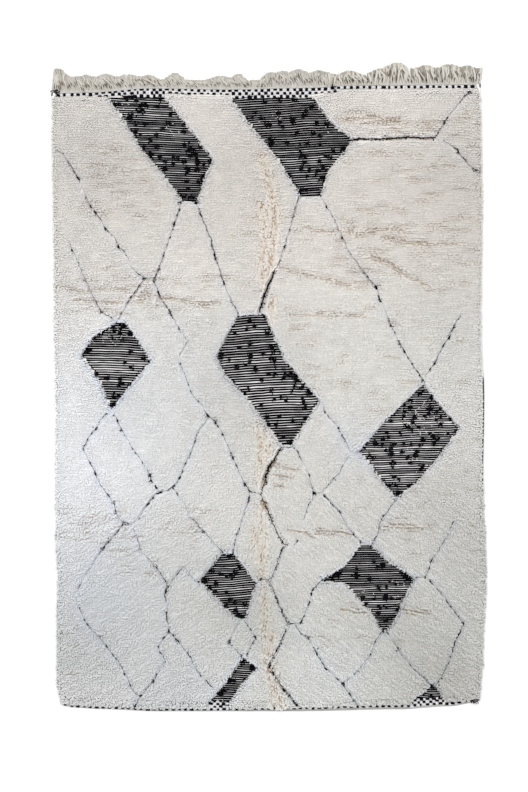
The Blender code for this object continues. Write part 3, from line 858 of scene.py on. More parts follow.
def fit_to_outline(across, along, margin, ends):
    """Places at shares of the rug's width and length, between its uneven sides and two ends."""
    x = SIDE_LINE * (2 * across - 1)
    y = PLAIN_END + (FRINGED_END - PLAIN_END) * along
    for _ in range(3):
        low_x, high_x = left_at(y) + margin, right_at(y) - margin
        x = low_x + (high_x - low_x) * across
        low_y, high_y = ends(x)
        y = low_y + (high_y - low_y) * along
    return x, y


def knot_places():
    columns = round(2 * SIDE_LINE / KNOT_PITCH)
    rows = round((FRINGED_END - PLAIN_END - 5 * CM) / ROW_PITCH)
    column, row = (grid.ravel() for grid in np.meshgrid(np.arange(columns), np.arange(rows)))
    across = (column + 0.5 + 0.5 * (row % 2) + chance.normal(0, 0.24, len(row))) / (columns + 0.5)
    along = (row + 0.5 + chance.normal(0, 0.16, len(row))) / rows
    x, y = fit_to_outline(across, along, SIDE_MARGIN, pile_ends)
    y = y + 5 * MM * smooth_noise(x, y, 0.35, 11) * np.minimum(1, 8 * np.minimum(along, 1 - along))
    return x, y + ROW_SWAY * smooth_noise(x * 0.25, y, 0.012, 12)


FLAT_WOVEN = [*LOZENGES.values(), *CHECKED_PATCHES]
knots = np.array(knot_places())
knots = knots[:, ~inside_any(FLAT_WOVEN, *knots)]
by_row, by_slight, by_comb = (
    nearest(finder, *knots) for finder in (row_finder, slight_finder, combed_finder))
opening = near(by_row[0], 12 * MM) * by_row[1:] + 0.6 * near(by_slight[0], 8 * MM) * by_slight[1:]
knots = knots + ROW_OPENING * opening
combed = near(by_comb[0], 24 * MM)
knots[0] += COMB_SWAY * combed * smooth_noise(knots[0], knots[1] * 0.2, 0.012, 13)
by_line, by_lozenge, by_thick = (
    nearest(finder, *knots) for finder in (line_finder, lozenge_finder, thick_finder))
free = (by_line[0] > 2.2 * MM) & (by_thick[0] > 5 * MM) & (by_row[0] > 1.2 * MM) & (by_comb[0] > 1.2 * MM)
(knot_x, knot_y), by_row, by_slight, by_comb, by_line, by_lozenge, by_thick = (
    found[:, free] for found in (knots, by_row, by_slight, by_comb, by_line, by_lozenge, by_thick))
combed = combed[free]
print("cream knots", len(knot_x))

# %% [markdown]
# The locks lean towards the plain end at the fringe, and fan out to both sides in the lower half. Rows
# that stand up a little more make faint streaks. Where the dark cord at a side lies bare, the locks
# of the rim lean outwards less, or a little inwards.

# %% How each lock leans
LEFT_BARE = [
    (-150, 0.45), (-125, 0.5), (-100, 0.55), (-85, 0.35), (-78, 0.8), (-70, 0.6), (-60, 0.1), (140, 0),
]
RIGHT_BARE = [(-150, 0.1), (-60, 0.1), (-44, 0.7), (-20, 0.9), (0, 0.8), (8, 0.2), (140, 0)]
PILE_LEAN = math.radians(-90)
DRIFT = math.radians(14)
DISORDER = math.radians(8)
CALM_FROM = -0.15
CALM_OVER = 0.85
CALM_CORNER = (-0.95, 1.15)
STREAK_WIDTH = 7 * MM
STREAK_LENGTH = 45 * MM
LEFT_RISE = 30
RIGHT_RISE = -35

count = len(knot_x)
low_y, high_y = pile_ends(knot_x)
ruffled = 1 - 0.5 * ease(np.clip((knot_y - CALM_FROM) / CALM_OVER, 0, 1))
turned = ease(np.clip((-0.10 - knot_y) / 0.55, 0, 1))
to_left = ease(np.clip((0.25 - knot_x) / 0.6, 0, 1))
fan = ((LEFT_RISE - 90) * to_left + (RIGHT_RISE + 90) * (1 - to_left)) * turned
heading = PILE_LEAN + np.radians(fan) + DRIFT * smooth_noise(knot_x, knot_y, 0.22, 21)
heading = heading + DISORDER * ruffled * chance.normal(0, 1, count)

raised = streaks(knot_x, knot_y, -2, STREAK_WIDTH, 0.7 * STREAK_LENGTH, 26) * (1 - turned)
raised += streaks(knot_x, knot_y, LEFT_RISE, STREAK_WIDTH, STREAK_LENGTH, 27) * turned * to_left
raised += 1.4 * streaks(knot_x, knot_y, RIGHT_RISE, STREAK_WIDTH, STREAK_LENGTH, 28) * turned * (1 - to_left)
from_corner = np.hypot(knot_x - CALM_CORNER[0], knot_y - CALM_CORNER[1])
calm = np.maximum(0.5 * near(from_corner, 0.28), 0.55 * near(high_y - knot_y, 0.10))
raised = raised * (1 - calm)

strand = smooth_noise(knot_x, knot_y * 0.5, 0.018, 22) * math.radians(45) + math.radians(-90)
lean = np.array((np.cos(heading), np.sin(heading))) * (1 - combed)
lean = lean + np.array((np.cos(strand), np.sin(strand))) * combed


def uncovered(side, y):
    """How much of the binding shows on one side, from the rim's own table."""
    return read_table(LEFT_BARE if side < 0 else RIGHT_BARE, y / CM)


rim_left = near(knot_x - left_at(knot_y), 10 * MM) * (1 - 1.3 * uncovered(-1, knot_y))
rim_right = near(right_at(knot_y) - knot_x, 10 * MM) * (1 - 1.3 * uncovered(1, knot_y))
rim_low, rim_high = near(knot_y - low_y, 12 * MM), near(high_y - knot_y, 12 * MM)
along_x, along_y = np.array(((1,), (0,))), np.array(((0,), (1,)))
for amount, away in (
    (near(by_row[0], 7 * MM) * 0.6, by_row[1:]),
    (near(by_slight[0], 6 * MM) * 0.3, by_slight[1:]),
    (near(by_line[0], 7 * MM) * 0.8 + near(by_thick[0], 14 * MM) * 1.3, by_line[1:]),
    (near(by_lozenge[0], 12 * MM) * 0.9, by_lozenge[1:]),
    (rim_left * 0.8, -along_x), (rim_right * 0.8, along_x),
    (rim_low * 0.2, -along_y), (rim_high * 0.2, along_y),
):
    lean = lean + amount * away
heading = np.arctan2(lean[1], lean[0])

upright = near(by_lozenge[0], 10 * MM) * 0.45 - 0.12 * rim_high
tilt = math.radians(18) + math.radians(1.8) * ruffled * (1 - calm) * chance.normal(0, 1, count) - upright
tilt = tilt - math.radians(9) * raised
tilt = tilt + 0.5 * combed + 0.4 * (rim_left + rim_right)
roll = math.radians(2.5) * ruffled * chance.normal(0, 1, count)

# %% [markdown]
# Undyed wool is never one shade: some balls of yarn are greyer. Broad soft zones carry that, and also
# painted shade where the pile falls darker towards its edges and the lower right, with a warmer tint at the
# fringed end.

# %% Slow changes of shade over the rug
# place, reach, and how much lighter and how much warmer the pile is there; the lightness is partly the wool's
# own tone and partly painted shade
ZONES = [
    (-80, -15, 48, 0.17, -0.03), (88, -125, 70, -0.16, 0), (-88, 115, 55, -0.06, 0),
    (-60, -140, 60, -0.12, -0.02), (95, 90, 50, -0.08, 0.01), (10, 30, 80, 0.03, 0.01),
    (-50, -84, 40, -0.07, 0.01), (-88, -112, 26, -0.06, 0.0), (54, -102, 22, -0.09, 0.01),
    (68, -88, 22, 0.07, 0),
    (-40, 50, 26, 0.07, 0), (-42, 124, 22, 0.07, 0), (54, 128, 24, 0.07, 0), (-9, -98, 22, -0.08, 0.01),
    (97, 112, 24, -0.05, 0), (97, 20, 32, -0.04, 0), (97, -85, 45, -0.06, 0), (-8, 0, 20, -0.06, 0),
    (-40, -140, 20, -0.04, -0.03),
    (76, -138, 22, -0.09, 0.01),
    (-38, 0, 42, -0.09, 0), (88, -58, 34, -0.08, 0.02), (25, 52, 26, 0.05, 0),
    (-98, -130, 24, -0.09, -0.01), (-90, -75, 40, -0.01, -0.03), (20, -35, 45, -0.02, 0.035),
    (80, 0, 45, 0, 0.02), (85, -142, 22, -0.07, 0.01), (-8, -102, 22, -0.06, 0),
    (-5, 108, 24, -0.06, 0), (-80, 32, 16, 0.045, 0), (70, 69, 16, 0.05, 0), (-69, -4, 14, -0.06, 0),
    (40, -25, 16, 0, -0.06), (-72, -102, 26, 0, -0.04), (30, -127, 16, 0.03, -0.03),
    (-80, 105, 16, -0.055, 0), (-40, 104, 15, -0.05, 0), (-60, 128, 12, -0.03, 0),
]
WARM_END = (1.01, 0.985, 0.965)
COOL_SIDE = (0.985, 0.995, 1.01)
PLAIN_SIDE = (0.99, 1.0, 0.99)


def zone_shade(x, y):
    """Colour gain of the pile at each place, from broad soft zones of the wool's own tone and of painted
    shade.
    """
    gain, warmth = 1.0, 0.0
    for zone_x, zone_y, reach, lighter, warmer in ZONES:
        here = near(np.hypot(x / CM - zone_x, y / CM - zone_y), reach)
        gain, warmth = gain + lighter * here, warmth + warmer * here
    gain = gain * (1 + 0.02 * smooth_noise(x, y, 0.40, 25))
    gain = gain[..., None] * (1 + warmth[..., None] * np.array((0.4, 0.0, -1.0)))
    to_fringe = ease(np.clip((y + 0.1) / 1.0, 0, 1))[..., None]
    to_plain = ease(np.clip((-0.5 - y) / 0.7, 0, 1))[..., None]
    tint = np.array(WARM_END) * to_fringe + np.array(PLAIN_SIDE) * to_plain
    return gain * (tint + np.array(COOL_SIDE) * (1 - to_fringe - to_plain))


# %% How long, how thick and how tinted each lock is
LOCK_FOOT = 8.5 * MM

tallness = 1 + 0.03 * ruffled * chance.normal(0, 1, count) + 0.05 * smooth_noise(knot_x, knot_y, 0.09, 23)
tallness = tallness + 0.08 * raised + 0.45 * combed - 0.15 * near(by_line[0], 6 * MM)
tallness = np.clip(tallness, 0.6, 1.6)
girth = 1 + 0.08 * chance.normal(0, 1, count) - 0.20 * combed - 0.30 * near(by_lozenge[0], 9 * MM)
girth = np.clip(girth, 0.55, 1.4)
foot = LOCK_FOOT - 4 * MM * (rim_left + rim_right) - 2.5 * MM * combed
foot = foot - 3.5 * MM * near(by_lozenge[0], 12 * MM)

# Warm and deep tints by the partings: deep is wholly painted shade, warm partly painted shade.
warm = 0.35 * near(by_comb[0], 30 * MM) + 0.10 * near(by_row[0], 14 * MM) + 0.08 * near(by_slight[0], 16 * MM)
deep = 0.8 * near(by_comb[0], 9 * MM)
cool = np.clip(0.75 * near(by_lozenge[0], 17 * MM) + 0.45 * near(by_line[0], 18 * MM), 0, 1)
# Each lock's colour gain: the zones, a random tone of its own, and a painted highlight on the rows that stand
# up.
shade = zone_shade(knot_x, knot_y) * (1 + 0.03 * chance.normal(0, 1, (count, 1)) + 0.06 * raised[:, None])

# %% The pile in four strips
PILE_STRIPS = 4

strip_of = ((knot_y - PLAIN_END) / (FRINGED_END - PLAIN_END) * PILE_STRIPS).astype(int)
strip_of = np.clip(strip_of, 0, PILE_STRIPS - 1)
places = np.column_stack([knot_x, knot_y, foot])
kinds = chance.integers(0, LOCK_KINDS, count)
turns = np.column_stack([roll, tilt, heading])
sizes = np.column_stack([tallness, girth, tallness])
pile = []
for strip in range(PILE_STRIPS):
    here = strip_of == strip
    pile.append(plant(
        f"pile_{strip + 1}", places[here], turns[here], sizes[here], kinds[here], lock_shapes, pile_wool,
        warm=warm[here], cool=cool[here], deep=deep[here], shade=shade[here]))

# %% [markdown]
# ## The cloth under the pile
# The ground of the rug is the woven back with the feet of the knots on it, so it is lower where the
# cloth is woven flat. It is one closed sheet: a grid laid over the outline, raised under the pile, and
# closed underneath. Under the pile it takes the locks' darker root colour, partly painted shade, and where
# a parting shows it the same warm tint and dark painted shade as the locks.

# %% Ground cloth
GROUND_CELL = 18 * MM
BED_TOP = 18.5 * MM
BED_RIM = 12 * MM


def lay_ground(mesh):
    """Lays a unit grid over the cloth, and marks it with what the wool's material reads."""
    grid = np.empty(len(mesh.vertices) * 3)
    mesh.vertices.foreach_get("co", grid)
    across, along = (grid.reshape(-1, 3)[:, :2].T + 1) / 2
    x, y = fit_to_outline(across, along, RIM_INSET, lambda x: (plain_end_at(x), fringed_end_at(x)))
    start, stop = pile_ends(x)
    to_lozenge, to_comb, to_row, to_line, to_slight = (nearest(finder, x, y)[0] for finder in (
        lozenge_finder, combed_finder, row_finder, line_finder, slight_finder))
    flat = inside_any(FLAT_WOVEN, x, y) | (to_lozenge < GROUND_CELL * 0.6)
    flat |= (y < start + GROUND_CELL) | (y > stop - GROUND_CELL)
    rim = np.minimum(x - left_at(y), right_at(y) - x)
    bed = BED_TOP - (BED_TOP - BED_RIM) * near(rim - RIM_INSET, 10 * MM)
    bed = bed + 1.5 * MM * smooth_noise(x, y, 0.03, 31)
    parted = np.maximum(near(to_comb, 25 * MM), 0.8 * near(to_row, 10 * MM))
    parted = np.maximum(parted, 0.5 * near(to_slight, 10 * MM))
    bed = bed - 5 * MM * parted - 2 * MM * near(to_line, 12 * MM)
    z = np.where(flat, FLAT_WEAVE, bed)
    mesh.vertices.foreach_set("co", np.column_stack([x, y, z]).ravel())
    # Painted shade in the partings, and under the pile the darker root colour, which is partly painted shade.
    for name in ("warm", "deep"):
        set_attribute(mesh, name, np.where(flat, 0.0, parted))
    set_attribute(mesh, "shade", zone_shade(x, y))
    set_attribute(mesh, "rise", np.where(flat, 0.6, 0.15))


def close_below(bm):
    """Draws a wall down from the rim to the floor and fills the underside."""
    rim = [edge for edge in bm.edges if edge.is_boundary]
    for part in bmesh.ops.extrude_edge_only(bm, edges=rim)["geom"]:
        if isinstance(part, bmesh.types.BMVert):
            part.co.z = 0
    bmesh.ops.holes_fill(bm, edges=[edge for edge in bm.edges if edge.is_boundary], sides=0)
    bmesh.ops.recalc_face_normals(bm, faces=bm.faces)
    bmesh.ops.triangulate(bm, faces=[face for face in bm.faces if len(face.verts) > 4])


def make_ground():
    mesh = bpy.data.meshes.new("ground_cloth")
    bm = bmesh.new()
    columns, rows = round(2 * SIDE_LINE / GROUND_CELL), round((FRINGED_END - PLAIN_END) / GROUND_CELL)
    bmesh.ops.create_grid(bm, x_segments=columns, y_segments=rows, size=1)
    bm.to_mesh(mesh)
    bm.free()
    lay_ground(mesh)
    bm = bmesh.new()
    bm.from_mesh(mesh)
    close_below(bm)
    bm.to_mesh(mesh)
    bm.free()
    mesh.shade_smooth()
    mesh.set_sharp_from_angle(angle=math.radians(50))
    mesh.materials.append(pile_wool)
    piece = bpy.data.objects.new("ground_cloth", mesh)
    scene.collection.objects.link(piece)
    return piece


ground = make_ground()
print("ground", len(ground.data.polygons), "faces")

# %% [markdown]
# ## Flat-woven lozenges
# Inside a lozenge there are no knots: black and cream wefts are beaten down in turn, the black much
# wider than the cream. Each pass is a soft rib from one side of the lozenge to the other. The
# passes follow the waves of the cloth, and stop a little unevenly, which makes the stepped sides.

# %% A tree that turns chains into ribs or cords
ribs, given = start_tree("ribs", {
    "Flatness": "NodeSocketFloat", "Sides": "NodeSocketInt", "Finish": "NodeSocketMaterial"})
curves = add_node(ribs, "GeometryNodeMeshToCurve", {"Mesh": given["Geometry"]})
level = add_node(ribs, "GeometryNodeSetCurveNormal", {"Curve": curves.outputs[0]}, mode="Z_UP")
ring = add_node(ribs, "GeometryNodeCurvePrimitiveCircle", {"Resolution": given["Sides"], "Radius": 1.0})
squash = add_node(ribs, "ShaderNodeCombineXYZ", {0: 1.0, 1: given["Flatness"], 2: 1.0})
profile = add_node(ribs, "GeometryNodeTransform",
                   {"Geometry": ring.outputs["Curve"], "Scale": squash.outputs[0]})
run = add_node(ribs, "GeometryNodeSplineParameter").outputs["Length"]
measured = store(ribs, level.outputs[0], "run", run)
on_ring = add_node(ribs, "GeometryNodeInputPosition").outputs[0]
girdle = store(ribs, profile.outputs[0], "girdle", on_ring, True)
swept = add_node(ribs, "GeometryNodeCurveToMesh", {
    "Curve": measured, "Profile Curve": girdle, "Scale": named(ribs, "width"), "Fill Caps": True})
girdle_at = add_node(ribs, "ShaderNodeVectorMath",
                     {0: named(ribs, "girdle", "FLOAT_VECTOR"), "Scale": named(ribs, "width")},
                     operation="SCALE").outputs[0]
around = add_node(ribs, "ShaderNodeSeparateXYZ", {0: girdle_at}).outputs
lie = add_node(ribs, "ShaderNodeCombineXYZ", {0: named(ribs, "run"), 1: around[0], 2: around[1]})
end_tree(ribs, store(ribs, swept.outputs[0], "lie", lie.outputs[0], True), given["Finish"])


def grow_ribs(name, chains, flatness, sides, finish, **attributes):
    """Sweeps a ring along each chain, which is given as its places and its half widths."""
    places, edges, widths = [], [], []
    for line, width in chains:
        first = len(places)
        places += np.asarray(line).tolist()
        edges += [(first + k, first + k + 1) for k in range(len(line) - 1)]
        widths += np.asarray(width).tolist()
    rise = np.ones(len(widths))
    points = make_points(name, places, edges, width=np.array(widths), rise=rise, **attributes)
    values = {"Flatness": flatness, "Sides": sides, "Finish": finish}
    return grow(points, ribs, values, ("width", "run", "girdle"))


# %% Passes of weft
PASS_STEP = 12 * MM
RIB_HEIGHT = 0.42
OVERLAP = 1.12
BRIGHT_PASSES = [98.0, -102.4]
BRIGHT = 2.2
THICKEST = 2.6
PASS_END_SWAY = 1.8 * MM
SHORTEST_PASS = 6 * MM


def cloth_wave(x, y):
    """How far a row of the weave lies off a straight line."""
    broad = 5 * MM * smooth_noise(x, y, 0.42, 41) + 2.2 * MM * smooth_noise(x, y, 0.085, 42)
    return broad + 1.1 * MM * smooth_noise(x, y, 0.028, 43)


def crossings(corners, y):
    """Where a level line enters and leaves an outline, in metres."""
    found = []
    for (x1, y1), (x2, y2) in zip(corners, corners[1:] + corners[:1]):
        if (y1 * CM > y) != (y2 * CM > y):
            found.append((x1 + (x2 - x1) * (y / CM - y1) / (y2 - y1)) * CM)
    return sorted(found)


def from_ends(steps):
    """How many steps each place is from the nearer end of a chain."""
    return np.minimum(np.arange(steps), np.arange(steps)[::-1])


def lay_passes(passes, swelling, seed):
    """Turns passes into chains of places and half widths."""
    chains = []
    for number, (y, slant, start, end, width, lift) in enumerate(passes):
        steps = max(3, round((end - start) / PASS_STEP) + 1)
        x = np.linspace(start, end, steps)
        line = y + slant * x
        line = line + cloth_wave(x, line) - 0.5 * cloth_wave((start + end) / 2, y)
        swell = 1 + swelling * smooth_noise(x, np.full(steps, number * 0.5), 0.035, seed)
        fine = np.minimum(1, from_ends(steps) + 0.55)
        line = np.column_stack([x, line, np.full(steps, FLAT_WEAVE + lift)])
        chains.append((line, width / 2 * swell * fine))
    return chains


black_passes, cream_passes = [], []
for name, corners in LOZENGES.items():
    pair, angle, black_share, uneven = WEAVING[name]
    pair, slant = pair * MM, math.tan(math.radians(angle))
    level = [(x, y - slant * x) for x, y in corners]
    y, top = min(corner[1] for corner in level) * CM, max(corner[1] for corner in level) * CM
    black, cream = pair * black_share, pair * (1 - black_share)
    y += black / 2
    while y < top:
        thick = min(math.exp(uneven * chance.normal()), THICKEST)
        if any(abs(y / CM - place) < pair / 2 / CM for place in BRIGHT_PASSES):
            thick = BRIGHT
        for passes, width, lift in ((black_passes, black, 0.6 * MM), (cream_passes, cream * thick, 1.7 * MM)):
            cut = crossings(level, y)
            for start, end in zip(cut[::2], cut[1::2]):
                start, end = start + chance.normal(0, PASS_END_SWAY), end + chance.normal(0, PASS_END_SWAY)
                if end - start > SHORTEST_PASS:
                    passes.append((y, slant, start, end, width * OVERLAP, lift))
            y += pair / 2
print("passes", len(black_passes), "black and", len(cream_passes), "cream")

weave_cream_wool = make_wool("weave_wool_cream", colour(94, 92, 90), mottle=0.3)
weave_black_wool = make_wool("weave_wool_black", colour(0.35, 0.3, 0.45), mottle=0.6, sheen=0, gloss=0.03)
weave = [
    grow_ribs("weave_black", lay_passes(black_passes, 0.15, 51), RIB_HEIGHT, 4, weave_black_wool),
    grow_ribs("weave_cream", lay_passes(cream_passes, 0.45, 52), RIB_HEIGHT, 4, weave_cream_wool),
]

# %% [markdown]
# In a few places loops of the cream weft stand up over the black and show as small bright flecks. They
# are short locks laid nearly flat, scattered round the places where they were seen.

# %% Flecks
# place, how far they scatter across and along, and how many
FLECKS = [
    (-74, 23, 4.0, 2.2, 30), (68, -12, 4.0, 3.5, 40), (75, -21, 4.0, 1.6, 16), (67, -34, 2.4, 2.6, 12),
    (-65, 130, 2.2, 3.0, 12), (-46, 119, 2.0, 2.0, 8), (43.5, -96, 1.6, 0.8, 7), (60, -91.5, 1.8, 0.8, 6),
    (60.5, -98.5, 1.2, 1.0, 6), (4, 124, 3.0, 1.5, 8), (27, 121, 1.5, 1.5, 6),
]
FLECK_HEIGHT = 7.5 * MM

flecks = []
for x, y, wide, long, number in FLECKS:
    offsets = chance.normal(0, 1, (number, 2)) * (wide, long)
    flecks += [((x + ox) * CM, (y + oy) * CM, FLECK_HEIGHT) for ox, oy in offsets]
flecks = np.array(flecks)
flecks = flecks[inside_any(LOZENGES.values(), flecks[:, 0], flecks[:, 1])]
count = len(flecks)
turn = np.column_stack([
    np.zeros(count), chance.uniform(0.6, 1.1, count), chance.uniform(0, 2 * math.pi, count)])
size = np.column_stack([
    chance.uniform(0.30, 0.55, count), np.full(count, 0.32), chance.uniform(0.30, 0.55, count)])
kind = chance.integers(0, LOCK_KINDS, count)
weave.append(plant("weave_flecks", flecks, turn, size, kind, lock_shapes, weave_cream_wool))

# %% [markdown]
# ## Black knots
# Black wool is knotted into the cloth in two ways. Single chains of knots make the thin lines, mostly
# sunk between the cream locks, with bunches that stand up here and there: a thin rib runs along each
# chain, swelling into beads. Inside the lozenges loose black tufts hang over the weave. Bunches and
# tufts are small locks on the same planting tree.

# %% Black locks along the lines
LINE_TOP = 26.5 * MM
LINE_FOOT = 7 * MM
THINNEST = 0.12

black_shapes = gather("black_lock_shapes", [
    make_lock("black_lock_a", 17 * MM, 7.5 * MM, 6.5 * MM, 0.6, 1 * MM),
    make_lock("black_lock_b", 17 * MM, 7.5 * MM, 6.5 * MM, 0.9, -2 * MM),
    make_lock("black_lock_c", 17 * MM, 7.5 * MM, 6.0 * MM, 1.2, 3 * MM),
])
black_places, black_sizes, black_tilts = [], [], []


def add_bunch(x, y, z, number, spread, size, tilt):
    """A bunch of black locks that lean out from one spot."""
    for _ in range(number):
        black_places.append((x + spread * chance.normal(), y + spread * chance.normal(), z))
        black_sizes.append(size * (1 + 0.15 * chance.normal()))
        black_tilts.append(min(tilt * abs(chance.normal()), 1.2))


line_ribs = []
for name, (width, points) in BLACK_LINES.items():
    chain = line_chains[name]
    x, y = chain.T
    marks = [point for point in points if len(point) == 3]
    showing = smooth_noise(x, y, 0.045, 61)
    bead = np.maximum(smooth_noise(x, y, 0.009, 62) + 0.1, 0)
    radius = 0.66 + 0.45 * showing + 5.0 * bead * bead + 1.3 * (width - 1)
    for mark_x, mark_y, full in marks:
        here = near(np.hypot(x - mark_x * CM, y - mark_y * CM), (3.5 + 2 * full) * MM)
        radius = radius + (2.0 + 1.5 * full) * here
    radius = np.maximum(radius, THINNEST) * MM
    line_ribs.append((np.column_stack([x, y, LINE_TOP - 0.8 * radius + 1 * MM * showing]), radius))
    for place, (x, y) in enumerate(chain):
        if width >= 1.5:
            add_bunch(x, y, LINE_FOOT, 1, 0.8 * width * MM, 1.02, 0.15)
        elif chance.random() < 0.26 + 0.3 * showing[place]:
            add_bunch(x, y, LINE_FOOT, 1, 0.8 * MM, 0.85, 0.12)
    for mark_x, mark_y, full in marks:
        add_bunch(mark_x * CM, mark_y * CM, 10 * MM, 4 + 4 * full, (1.6 + 1.2 * full) * MM, 0.95, 0.5)

# Bunches off the lines, at the corners and by one lozenge
STRAY_BUNCHES = [
    (30.2, 139.6, 7), (30.0, 138.4, 6), (-99.3, 137.6, 9), (-97.8, 136.2, 7), (95.0, -146.0, 9),
    (96.5, -146.4, 9), (25.8, -88.6, 11), (28.0, -88.2, 11), (30.4, -88.0, 11), (32.6, -87.8, 11),
    (65.5, -89.0, 11), (63.5, -89.0, 11),
]
for x, y, number in STRAY_BUNCHES:
    add_bunch(x * CM, y * CM, 8 * MM, number, 3.2 * MM, 0.9, 0.8)
print("black locks on lines", len(black_places))

# %% Black tufts over the lozenges
TUFT_GAP = 30 * MM
TUFT_SHARE = 0.30

# Centimetres across and along, and how full the tuft is
LARGE_TUFTS = [
    (-64, 125.5, 2.3), (-59.4, 128.5, 2.6), (-57, 131, 1.4), (-61.6, 133, 1.0), (-46.5, 122.3, 1.2),
    (-49.5, 119.8, 1.0), (-52, 117, 1.0), (-55, 114.3, 1.0), (-39, 112.3, 1.2), (-34, 108, 1.3),
    (-58, 111.4, 1.2), (-55, 108.3, 1.6), (-36, 110, 1.6), (-33, 104, 1.6), (-48.3, 101, 1.5),
    (20, 130, 1.2), (11, 124.2, 1.6), (27, 122, 1.5), (0.7, 113.2, 1.6), (34.5, 110.5, 2.0),
    (25.2, 102, 1.8),
    (25.2, 97, 1.4), (15, 91, 1.4), (-72.5, 27.5, 1.4), (-67, 28.5, 1.4), (-77, 25.5, 1.2),
    (-83.5, 17.2, 1.3),
    (-58, 13.5, 1.5), (-64.2, 16.5, 1.1), (-69, 1.5, 1.9), (-80, 6, 1.2), (-72.5, -8.5, 1.9),
    (-6.5, 28, 1.2), (-8.8, 14.5, 1.4),
    (-22, 15, 1.3), (12, 5, 1.7), (18.8, -2.5, 1.9), (10, -25.8, 1.9), (17, -9.5, 1.2), (57, -31, 1.8),
    (49.5, -26, 1.8), (67, -16.5, 1.6), (76.5, -23.5, 1.7), (75, -10.5, 1.6), (71.5, -37, 1.5),
    (60, -49.5, 2.0),
    (-18.4, -78.6, 1.5), (-16.8, -88, 1.4), (-24.5, -91.5, 1.4), (-29.5, -90, 1.5), (-18, -99, 1.3),
    (-14, -106, 1.5), (41, -87.6, 1.9), (47, -89, 1.8), (53, -83, 1.4), (51, -93.5, 1.6),
    (63.8, -87.5, 1.9),
    (54.5, -108.5, 1.9), (50.8, -105, 1.2), (60, -103.5, 1.0), (-12, -127.5, 1.9), (-7.5, -130.5, 1.7),
    (-16, -136.5, 1.1), (-20.5, -141, 1.1), (75.5, -139.2, 1.3), (75.5, -143.4, 1.2),
]
hearts = []


def add_tuft(x, y, fullness):
    """A loose tuft round a few firmly packed knots."""
    add_bunch(x, y, 6.5 * MM, round(20 * fullness), 3.6 * MM * fullness, 0.70, 0.8)
    for _ in range(round(1 + 2 * fullness)):
        hearts.append((x + 3.4 * MM * fullness * chance.normal(), y + 2.4 * MM * fullness * chance.normal()))


for x, y, fullness in LARGE_TUFTS:
    add_tuft(x * CM, y * CM, fullness)
for corners in LOZENGES.values():
    low, high = np.array(corners).min(0) * CM, np.array(corners).max(0) * CM
    grid = np.meshgrid(np.arange(low[0], high[0], TUFT_GAP), np.arange(low[1], high[1], TUFT_GAP))
    spots = np.stack(grid, -1).reshape(-1, 2)
    spots = spots + chance.normal(0, 8 * MM, spots.shape)
    spots = spots[inside(corners, *spots.T)]
    density = TUFT_SHARE + 0.25 * smooth_noise(*spots.T, 0.10, 71)
    for x, y in spots[chance.random(len(spots)) < density]:
        add_tuft(x, y, chance.uniform(0.4, 1.3))

# Where a black pass turns back at the side of a lozenge, it leaves a few loose ends
for y, slant, start, end, width, lift in black_passes:
    for x in (start, end):
        add_bunch(x, y + slant * x, 10 * MM, chance.integers(1, 6), 2.4 * MM, 0.68, 0.9)

count = len(black_places)
turn = np.column_stack([
    0.3 * chance.normal(0, 1, count), black_tilts, chance.uniform(0, 2 * math.pi, count)])
size = np.repeat(np.clip(black_sizes, 0.4, 1.5)[:, None], 3, 1)
kind = chance.integers(0, 3, count)
black_knots = plant("black_knots", black_places, turn, size, kind, black_shapes, black_wool)
black_lines = grow_ribs("black_lines", line_ribs, 1.0, 3, black_wool)

# %% [markdown]
# ## Painted shadows in the partings
# In a parting between two rows the feet of the knots show as a thin, broken line of warmer, shaded
# wool. A fine dark brown rib lies there, just over the pile, and paints the shadow in the crack: wide
# where the pile gapes and almost nothing where it closes.

# %% Painted crack shadows
CRACK_SHADOW_HEIGHT = 26 * MM


def on_pile(x, y):
    """Whether places lie on the pile, clear of its sides, its ends and the flat-woven lozenges."""
    low, high = pile_ends(x)
    within = (x > left_at(y) + 2 * CM) & (x < right_at(y) - 2 * CM) & (y > low + 1 * CM) & (y < high - 1 * CM)
    return within & ~inside_any(LOZENGES.values(), x, y)


roots = []
for chains, gape, seed in ((row_chains, 0.75 * MM, 63), (slight_chains, 0.40 * MM, 64)):
    for chain in chains:
        x, y = chain[::2].T
        opened = 1.0 + 1.1 * smooth_noise(x, y * 4, 0.03, seed)
        opened = opened * np.minimum(1, 0.3 + 0.35 * from_ends(len(x)))
        width = np.maximum(gape * opened, 0.1 * MM)
        line = np.column_stack([x, y, np.full(len(x), CRACK_SHADOW_HEIGHT)])
        roots += [(line[run], width[run]) for run in runs_of(on_pile(x, y)) if len(run) > 1]
# The dark brown of these ribs is painted shadow in the cracks, with a little of the roots' warmth.
crack_shadow_wool = make_wool("root_wool_brown", colour(30, 19.5, 12), mottle=0.3, sheen=0)
parting_roots = grow_ribs("parting_roots", roots, 1.0, 3, crack_shadow_wool)

# %% [markdown]
# ## Small rounded shapes
# A check is a low cushion of wool, and the heart of a tuft is a firmly packed ball. Both are simple
# forms of a few faces, smoothed by their normals, and set on their places by the planting tree.


# %% Cushions and balls
def round_shape(name, form):
    """Makes a small form into a shape that carries what the wool's material reads."""
    mesh = bpy.data.meshes.new(name)
    form.to_mesh(mesh)
    form.free()
    set_attribute(mesh, "lie", [tuple(vert.co * 0.015) for vert in mesh.vertices])
    set_attribute(mesh, "rise", np.ones(len(mesh.vertices)))
    mesh.shade_smooth()
    return bpy.data.objects.new(name, mesh)


CUSHION_REACH = 0.72

form = bmesh.new()
bmesh.ops.create_cube(form, size=1)
bmesh.ops.subdivide_edges(form, edges=form.edges, cuts=1, use_grid_fill=True)
for vert in form.verts:
    if vert.co.length > CUSHION_REACH:
        vert.co *= CUSHION_REACH / vert.co.length
bmesh.ops.recalc_face_normals(form, faces=form.faces)
cushions = gather("cushions", [round_shape("cushion", form)])

